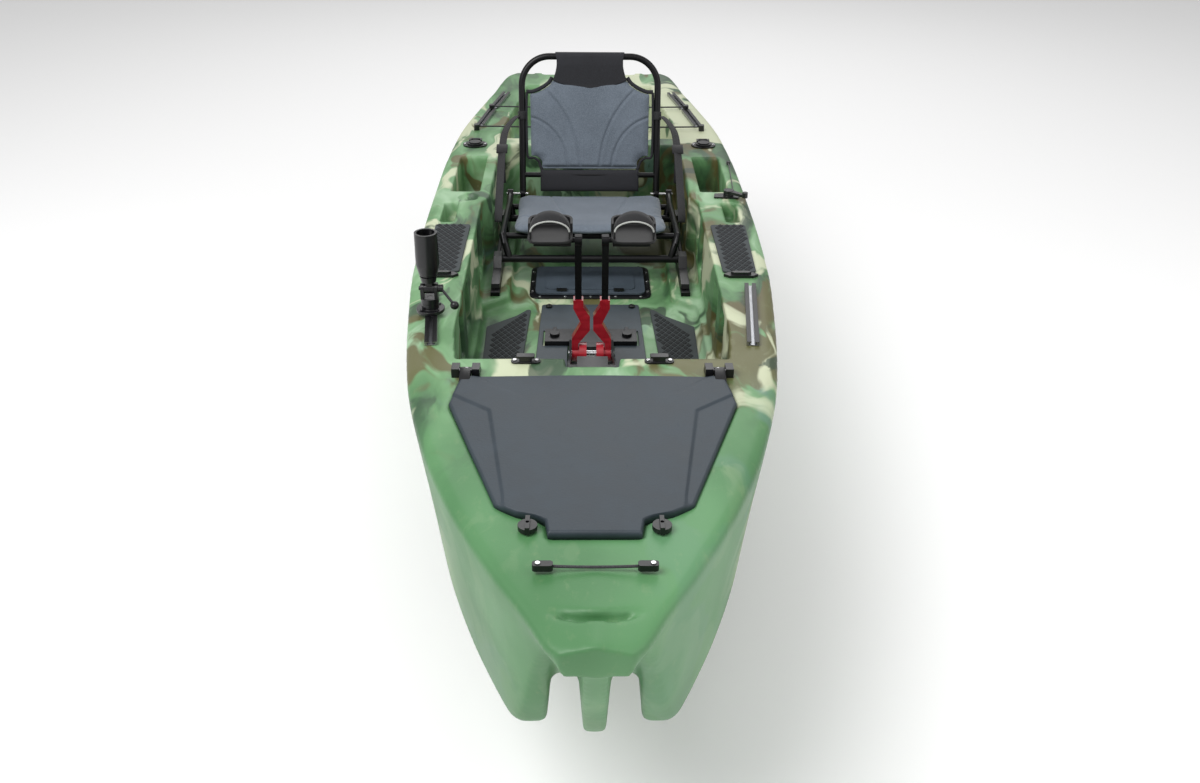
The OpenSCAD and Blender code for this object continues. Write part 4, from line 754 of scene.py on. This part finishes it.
def slab(outline, low, high):
    """A closed outline raised between two heights, in the plane of the outline."""
    p = np.asarray(outline, float)
    n = len(p)
    points = np.concatenate([np.column_stack([p, np.full(n, z)]) for z in (low, high)])
    faces = strip_faces(2, n, wrap=True).tolist()
    return points, faces + [list(range(n))[::-1], list(range(n, 2 * n))]


def stuffed(name, mesh, cap):
    """Pads a closed shape: voxel skin, 20 frames of cloth under pressure without gravity, each point held within the
    cap of where it began, then one subdivision."""
    obj = bpy.data.objects.new(name, mesh)
    bpy.context.scene.collection.objects.link(obj)
    modifier(obj, "REMESH", mode="VOXEL", voxel_size=CLOTH_VOXEL, use_smooth_shade=True)
    applied(obj)
    start = np.empty(len(obj.data.vertices) * 3)
    obj.data.vertices.foreach_get("co", start)
    start = start.reshape(-1, 3)
    cloth = obj.modifiers.new("cloth", "CLOTH")
    cloth.settings.use_pressure = True
    cloth.settings.uniform_pressure_force = CLOTH_PRESSURE
    cloth.settings.effector_weights.gravity = 0
    cloth.settings.quality = 5
    cloth.settings.mass = 0.3
    cloth.collision_settings.use_collision = False
    scene = bpy.context.scene
    cloth.point_cache.frame_start, cloth.point_cache.frame_end = 1, CLOTH_FRAMES
    for step in range(1, CLOTH_FRAMES + 1):
        scene.frame_set(step)
    depsgraph = bpy.context.evaluated_depsgraph_get()
    swollen = bpy.data.meshes.new_from_object(obj.evaluated_get(depsgraph))
    obj.modifiers.clear()
    end = np.empty(len(swollen.vertices) * 3)
    swollen.vertices.foreach_get("co", end)
    move = end.reshape(-1, 3) - start
    length = np.linalg.norm(move, axis=1)[:, None]
    move *= np.minimum(1, cap / np.maximum(length, 1e-9))
    obj.data.vertices.foreach_set("co", (start + move).ravel())
    scene.frame_set(1)
    modifier(obj, "SMOOTH", factor=0.5, iterations=3)
    modifier(obj, "SUBSURF", levels=1, render_levels=1)
    applied(obj)
    return obj


def reshape(obj, change):
    """Moves every vertex of an object by a function of all its points."""
    co = np.empty(len(obj.data.vertices) * 3)
    obj.data.vertices.foreach_get("co", co)
    obj.data.vertices.foreach_set("co", change(co.reshape(-1, 3)).astype(float).ravel())
    obj.data.update()


def settle(obj, slot_name, body, nodes):
    """Gives a simulated pad its finish and its body, and hides the CAD nodes it stands in for."""
    obj.data.materials.clear()
    obj.data.materials.append(PAINTS[slot_name])
    obj.data.polygons.foreach_set("use_smooth", np.ones(len(obj.data.polygons), bool))
    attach(obj, body)
    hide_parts(*nodes)


INNER_SEAM = [(146, 330), (104, 284), (70, 232), (45, 170), (34, 118), (30, 84)]
OUTER_SEAM = [(204, 243), (170, 234), (135, 215), (100, 178), (77, 128), (68, 84)]


def back_cushion():
    """Backrest pad: outline with cut lower corners and shoulders rising to the headband; its sewn lines are pressed in
    as the bell curve of the distance from each line."""
    corner = [(154, 76), (156, 92), (163, 106), (176, 114), (194, 117)]
    shoulder = [(196, 316), (176, 320), (150, 331), (128, 346), (118, 362)]
    half = [(148, 72)] + corner + shoulder
    outline = np.array(half + [(-x, h) for x, h in half[::-1]], float)
    points, faces = slab(outline, -6.0, 6.0)
    mesh = mesh_from("back_pad", leaned(points[:, [0, 2, 1]]), faces)
    outward(mesh)
    obj = stuffed("back_cushion_pad", mesh, 0.007)
    c, s = math.cos(LEAN), math.sin(LEAN)
    lines = [line_2d(seam) for seam in (INNER_SEAM, OUTER_SEAM)]
    lines += [line * [-1, 1] for line in lines] + [np.array([[-150.0, 85.0], [150.0, 85.0]])]

    def press(co):
        p = co / MM
        dy, dz = p[:, 1] - HINGE_Y, p[:, 2] - HINGE_Z
        depth, height = dy * c - dz * s, dy * s + dz * c
        flat = np.column_stack([p[:, 0], height])
        hollow = 6.0 * (1 - (p[:, 0] / 205) ** 2)
        near = np.min([near_line(flat, line) for line in lines], axis=0)
        front = np.clip(-depth / 5, 0, 1)
        depth = depth + front * 3.6 * np.exp(-(near / 3.4) ** 2) - front * 0.9 * np.exp(-((near - 9) / 4.5) ** 2)
        depth = depth + hollow * 0.9
        return leaned(np.column_stack([p[:, 0], depth, height]))

    reshape(obj, press)
    settle(obj, "seat_fabric", "seat_back", ["back_cushion"])
    # Black binding round the cut corners, sides and shoulders.
    piping = []
    edge = np.array([(148, 70), (156, 84), (163, 103), (178, 113), (197, 117), (200, 160), (200.5, 240), (199, 316)],
                    float)
    rise = np.array([(200, 318), (178, 319), (152, 330), (130, 345), (118, 362)], float)
    for side in (1, -1):
        for line, r in ((edge, 4.2), (rise, 6.4)):
            p = line_2d(line, 4.0)
            depth = 5.4 * (1 - (p[:, 0] / 205) ** 2)
            path = leaned(np.column_stack([p[:, 0] * side, depth, p[:, 1]]))
            piping.append(tube_mesh("piping", path, r * MM, 12, up=(0, 1, 0)))
    add("back_piping", joined("back_piping", piping), "band_fabric", "seat_back")


def back_bands():
    """Headband wrapped over the top bar, its lower edge dipping in the middle, and the wide band low on the back."""
    u, v = np.meshgrid(np.linspace(-1, 1, 61), np.linspace(0, 1, 60), indexing="ij")
    # v runs from the front's lower edge up, over the bar and down the back.
    bottom = 326 + 27 * u ** 2
    r = 13.5
    front_v = np.clip(v / 0.42, 0, 1)
    over = np.clip((v - 0.42) / 0.16, 0, 1) * np.pi
    back_v = np.clip((v - 0.58) / 0.42, 0, 1)
    h = np.where(v < 0.42, bottom + (BACK_H - bottom) * front_v,
                 np.where(v > 0.58, BACK_H - (BACK_H - bottom) * back_v, BACK_H + r * np.sin(over)))
    flat = np.clip((h - 340) / 60, 0, 1)
    reach = r * (0.55 + 0.45 * flat)
    depth = np.where(v < 0.42, -reach, np.where(v > 0.58, reach, -r * np.cos(over)))
    fold = (0.9 * np.sin(u * 9 + 0.8) + 0.5 * np.sin(u * 23)) * np.exp(-((h - 388) / 26) ** 2)
    x = u * (104 + 16 * np.clip((400 - h) / 55, 0, 1) ** 1.6 + 4 * np.clip((h - 415) / 20, 0, 1))
    points = leaned(np.stack([x, depth + fold * np.sign(depth) * -0.4, h], -1).reshape(-1, 3))
    n = 60
    faces = strip_faces(61, n)
    seam = np.arange(60) * n
    low = np.stack([seam[:-1], seam[1:], seam[1:] + n - 1, seam[:-1] + n - 1], -1)
    half = n // 2
    k = np.arange(half - 1)
    ends = [np.stack([row * n + k, row * n + k + 1, row * n + n - 2 - k, row * n + n - 1 - k], -1) for row in (0, 60)]
    mesh = mesh_from("headband", points, np.concatenate([faces, low, *ends]).tolist())
    outward(mesh)
    # The low band is a padded sleeve on the crossbar.
    a = np.linspace(0, 2 * np.pi, 40, endpoint=False)
    xs = np.linspace(-157, 157, 64)
    pinch = 1 - 0.35 * (np.abs(xs) / 157) ** 14
    ripple = 0.6 * np.sin(xs / 17)
    ring_h, ring_d = (size * np.sign(wave) * np.abs(wave) ** power
                      for size, wave, power in ((34, np.sin(a), 0.5), (11, np.cos(a), 0.6)))
    p = np.stack([np.repeat(xs[:, None], 40, 1), ring_d[None] * pinch[:, None] + 5 * (1 - (xs / 205) ** 2)[:, None] - 2,
                  42 + ring_h[None] * (0.97 + 0.03 * pinch[:, None]) + 0.3 * ripple[:, None]], -1)
    sleeve = mesh_from("sleeve", leaned(p.reshape(-1, 3)), strip_faces(64, 40, wrap=True).tolist()
                       + [list(range(40))[::-1], [63 * 40 + k for k in range(40)]])
    outward(sleeve)
    add("back_bands_cloth", joined("bands", [mesh, sleeve]), "band_fabric", "seat_back", replaces=["back_bands"])


def seat_cushion():
    """Seat pad: a rounded slab with pulled-in sides, corners turned up at the back and a dipped front edge."""
    half = [(205, 163), (222, 176), (228, 210), (224, 330), (229, 470), (226, 520), (208, 548)]
    outline = np.array(half + [(-x, y) for x, y in half[::-1]], float)
    points, faces = slab(outline, 299.0, 311.0)
    mesh = mesh_from("seat_pad", points * MM, faces)
    outward(mesh)
    obj = stuffed("seat_cushion_pad", mesh, 0.008)
    seams = [line_2d([(62, 156), (72, 260), (98, 400), (128, 560)]), line_2d([(232, 300), (170, 262), (140, 156)])]
    seams += [line * [-1, 1] for line in seams] + [line_2d([(-235, 520), (0, 508), (235, 520)])]

    def press(co):
        p = co / MM
        x, y, z = p.T
        near = np.min([near_line(p[:, :2], line) for line in seams], axis=0)
        top = np.clip((z - 305) / 4, 0, 1)
        z = z - top * (3.0 * np.exp(-(near / 3.6) ** 2))
        z = z + 12 * np.clip((np.abs(x) - 150) / 80, 0, 1) ** 2 * np.clip((y - 430) / 120, 0, 1) ** 1.5
        z = z - 5 * np.exp(-(x / 60) ** 2) * np.clip((240 - y) / 80, 0, 1)
        return np.column_stack([x, y, np.clip(z, 292.4, 327)]) * MM

    reshape(obj, press)
    obj.data.transform(Matrix.Translation((0, 0.150, 0.292)) @ Matrix.Rotation(-SEAT_SLOPE, 4, "X")
                       @ Matrix.Translation((0, -0.150, -0.292)))
    settle(obj, "seat_fabric", "seat", ["seat_cushion"])


def seat_straps():
    """Webbing from the seat's side tube up to a loop on the backrest's upright, with an adjuster buckle and a loose
    tail."""
    parts = []
    for side in (1, -1):
        x = 269.6 * side
        path = smooth_path([(x, 246, 300), (x, 262, 318), (x, 330, 352), (x, 470, 420), (x * 0.985, 570, 462),
                            (side * 252, 622, 480), (side * 236, 654, 490), (side * 227, 664, 493.5)], 8) * MM
        parts.append(band_mesh("strap", path, 0.024, 0.0022, up=(side * 0.25, 0, 1)))
        tail = smooth_path([(x, 500, 430), (x, 488, 408), (x, 482, 375), (x, 486, 335)], 8) * MM
        parts.append(band_mesh("tail", tail, 0.020, 0.0018, up=(0, -1, 0)))
        mid, ahead = np.array([x, 505, 437.5]) * MM, np.array([0, 0.897, 0.441])
        parts.append(band_mesh("buckle", np.array([mid - ahead * 0.017, mid, mid + ahead * 0.017]), 0.034, 0.0066))
        loop = leaned(np.array([[side * BACK_HALF, 0, h] for h in np.linspace(232, 258, 6)]))
        parts.append(tube_mesh("loop", loop, 0.0130, 28, up=(0, 1, 0)))
    straps = add("seat_straps_webbing", joined("straps", parts), "webbing", None, replaces=["seat_straps"])
    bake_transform(straps)


# ---------------------------------------------------------------- cords, pedals and small fittings
def bungees():
    """Elastic cords between their hooks: each a shallow sag, the square of the place along it."""
    cords = []
    x = np.linspace(-1, 1, 90)
    for y, z, half, sag in ((-1466, 376, 75, 2.0), (955, 373, 382, 3.0), (1197.5, 373, 343, 3.0)):
        path = np.column_stack([x * half, np.full_like(x, y), z - sag * (1 - x ** 2)])
        cords.append(tube_mesh("cord", path * MM, 0.0026, 12, up=(0, 1, 0)))
    add("bungee_cords", joined("bungee_cords", cords), "elastic_cord", "hull", replaces=["bungees"])


def pedal_strap(side, name):
    """Foot strap: two short legs and a half circle over the toes, its rear edge wider and higher than its front one,
    3 mm thick, with a pale tube round the front edge as a painted highlight."""
    a = np.linspace(0, np.pi, 61)
    a = np.concatenate([[0], a, [np.pi]])
    leg = np.ones(63)
    leg[[0, -1]] = 0
    out, up = np.cos(a), np.sin(a) * leg
    front = np.stack([97 * side + 46.5 * out, np.full(63, -464.5), 536 + 17 * leg + 27 * up], -1)
    rear = np.stack([97 * side + 46.5 * out, np.full(63, -443.5), 536 + 19 * leg + 42 * up], -1)
    inward = np.stack([out, np.zeros(63), np.sin(a)], -1) * 3.2
    rows = np.stack([front, (front + rear) / 2 + inward * 0.25, rear, rear - inward, front - inward], 1)
    mesh = mesh_from("band", rows * MM, strip_faces(63, 5, wrap=True).tolist() + [list(range(5))[::-1],
                                                                                 [62 * 5 + k for k in range(5)]])
    outward(mesh)
    body = name.replace("pedal_straps", "pedal")
    add(name + "_webbing", mesh, "webbing", body, replaces=[name])
    # Pale tube along the strap's front edge: a painted highlight.
    rim = tube_mesh("rim", (front - inward * 0.6)[1:-1] * MM, 0.0021, 10, up=(0, 1, 0))
    add(name + "_rim", rim, "webbing", body, paint="highlight_rim")


def fittings():
    """Every fitting whose machined or moulded shape stands as designed, with its edges rounded."""
    fine = {"fitting_screws": 0.0006, "rudder_lines": 0.0003, "drive_chains": 0.0004, "bow_hinge_pins": 0.0004,
            "seat_hinge_pins": 0.0004, "gear_tracks": 0.0004, "drive_rods": 0.0006, "floor_latch_port": 0.0008,
            "floor_latch_starboard": 0.0008, "seat_frame": 0.0006, "drive_housing": 0.003,
            "crank_port": 0.0026, "crank_starboard": 0.0026, "floor_insert": 0.0014, "pedal_port": 0.002,
            "pedal_starboard": 0.002, "hatch_gaskets": 0.0008}
    # The floor hatch lid takes the paler floor_hatch paint, painted light against the seat's shadow.
    own = {"floor_hatch_lid": "floor_hatch", "pedal_port": "pedal_black", "pedal_starboard": "pedal_black",
           "foam_pads": "foam_ridge"}
    for node in NODES:
        if not NODES[node].hide_render:
            softened(node, fine.get(node, 0.0011), paint=own.get(node))


# ---------------------------------------------------------------- build
moulded_hull()
bow_lid()
foam_diamonds()
seat_tubes()
back_cushion()
back_bands()
seat_cushion()
seat_straps()
bungees()
pedal_strap(1, "pedal_straps_port")
pedal_strap(-1, "pedal_straps_starboard")
fittings()

# ---------------------------------------------------------------- room, lights and camera
def room():
    """A pale floor under the fin tips that curves up behind, three soft lamps and an even pale sky."""
    world = bpy.context.scene.world or bpy.data.worlds.new("room")
    bpy.context.scene.world = world
    bpy.context.scene.view_settings.view_transform = "Standard"
    world.use_nodes = True
    world.node_tree.nodes["Background"].inputs["Color"].default_value = (1, 1, 1, 1)
    world.node_tree.nodes["Background"].inputs["Strength"].default_value = 0.5
    s = np.linspace(0, 1, 60)
    y = np.where(s < 0.6, -14 + s / 0.6 * 24, 10 + 5 * np.sin(np.clip((s - 0.6) / 0.4, 0, 1) * np.pi / 2))
    z = np.where(s < 0.6, 0, 5 * (1 - np.cos(np.clip((s - 0.6) / 0.4, 0, 1) * np.pi / 2))) + cad_box[0][2] - 0.002
    points = np.concatenate([np.column_stack([np.full(60, x), y, z]) for x in (-14.0, 14.0)])
    mesh = mesh_from("floor", points, strip_faces(2, 60)[:, ::-1].tolist())
    mesh.polygons.foreach_set("use_smooth", np.ones(len(mesh.polygons), bool))
    paint = Paint("floor")
    paint.set(Base_Color=(1.0, 1.0, 1.0), Roughness=0.95, Specular_IOR_Level=0.1)
    mesh.materials.append(paint.material)
    floor = bpy.data.objects.new("floor", mesh)
    bpy.context.scene.collection.objects.link(floor)
    for name, size, power, place, target in (("key", 3.0, 215, (-2.4, -2.4, 4.4), (0, -0.2, 0.2)),
                                             ("fill", 4.5, 75, (3.6, -2.0, 3.4), (0, 0, 0.2)),
                                             ("back", 4.0, 110, (0.4, 5.5, 5.0), (0, 0, 0.2))):
        lamp = bpy.data.lights.new(name, "AREA")
        lamp.size, lamp.energy = size, power
        obj = bpy.data.objects.new(name, lamp)
        aim = Vector(target) - Vector(place)
        obj.matrix_world = Matrix.Translation(place) @ aim.to_track_quat("-Z", "Y").to_matrix().to_4x4()
        bpy.context.scene.collection.objects.link(obj)


def camera():
    """A camera ahead of the bow, looking down along the boat."""
    data = bpy.data.cameras.new("camera")
    data.lens, data.sensor_width = 34.8, 36
    data.clip_start, data.clip_end = 0.05, 100
    obj = bpy.data.objects.new("camera", data)
    turn = (Matrix.Rotation(math.radians(-0.95), 4, "Z") @ Matrix.Rotation(math.radians(90 - 29.6), 4, "X")
            @ Matrix.Rotation(math.radians(0.5), 4, "Z"))
    obj.matrix_world = Matrix.Translation((-0.02, -2.96, 1.55)) @ turn
    bpy.context.scene.collection.objects.link(obj)
    bpy.context.scene.camera = obj


room()
camera()
bpy.context.view_layer.update()
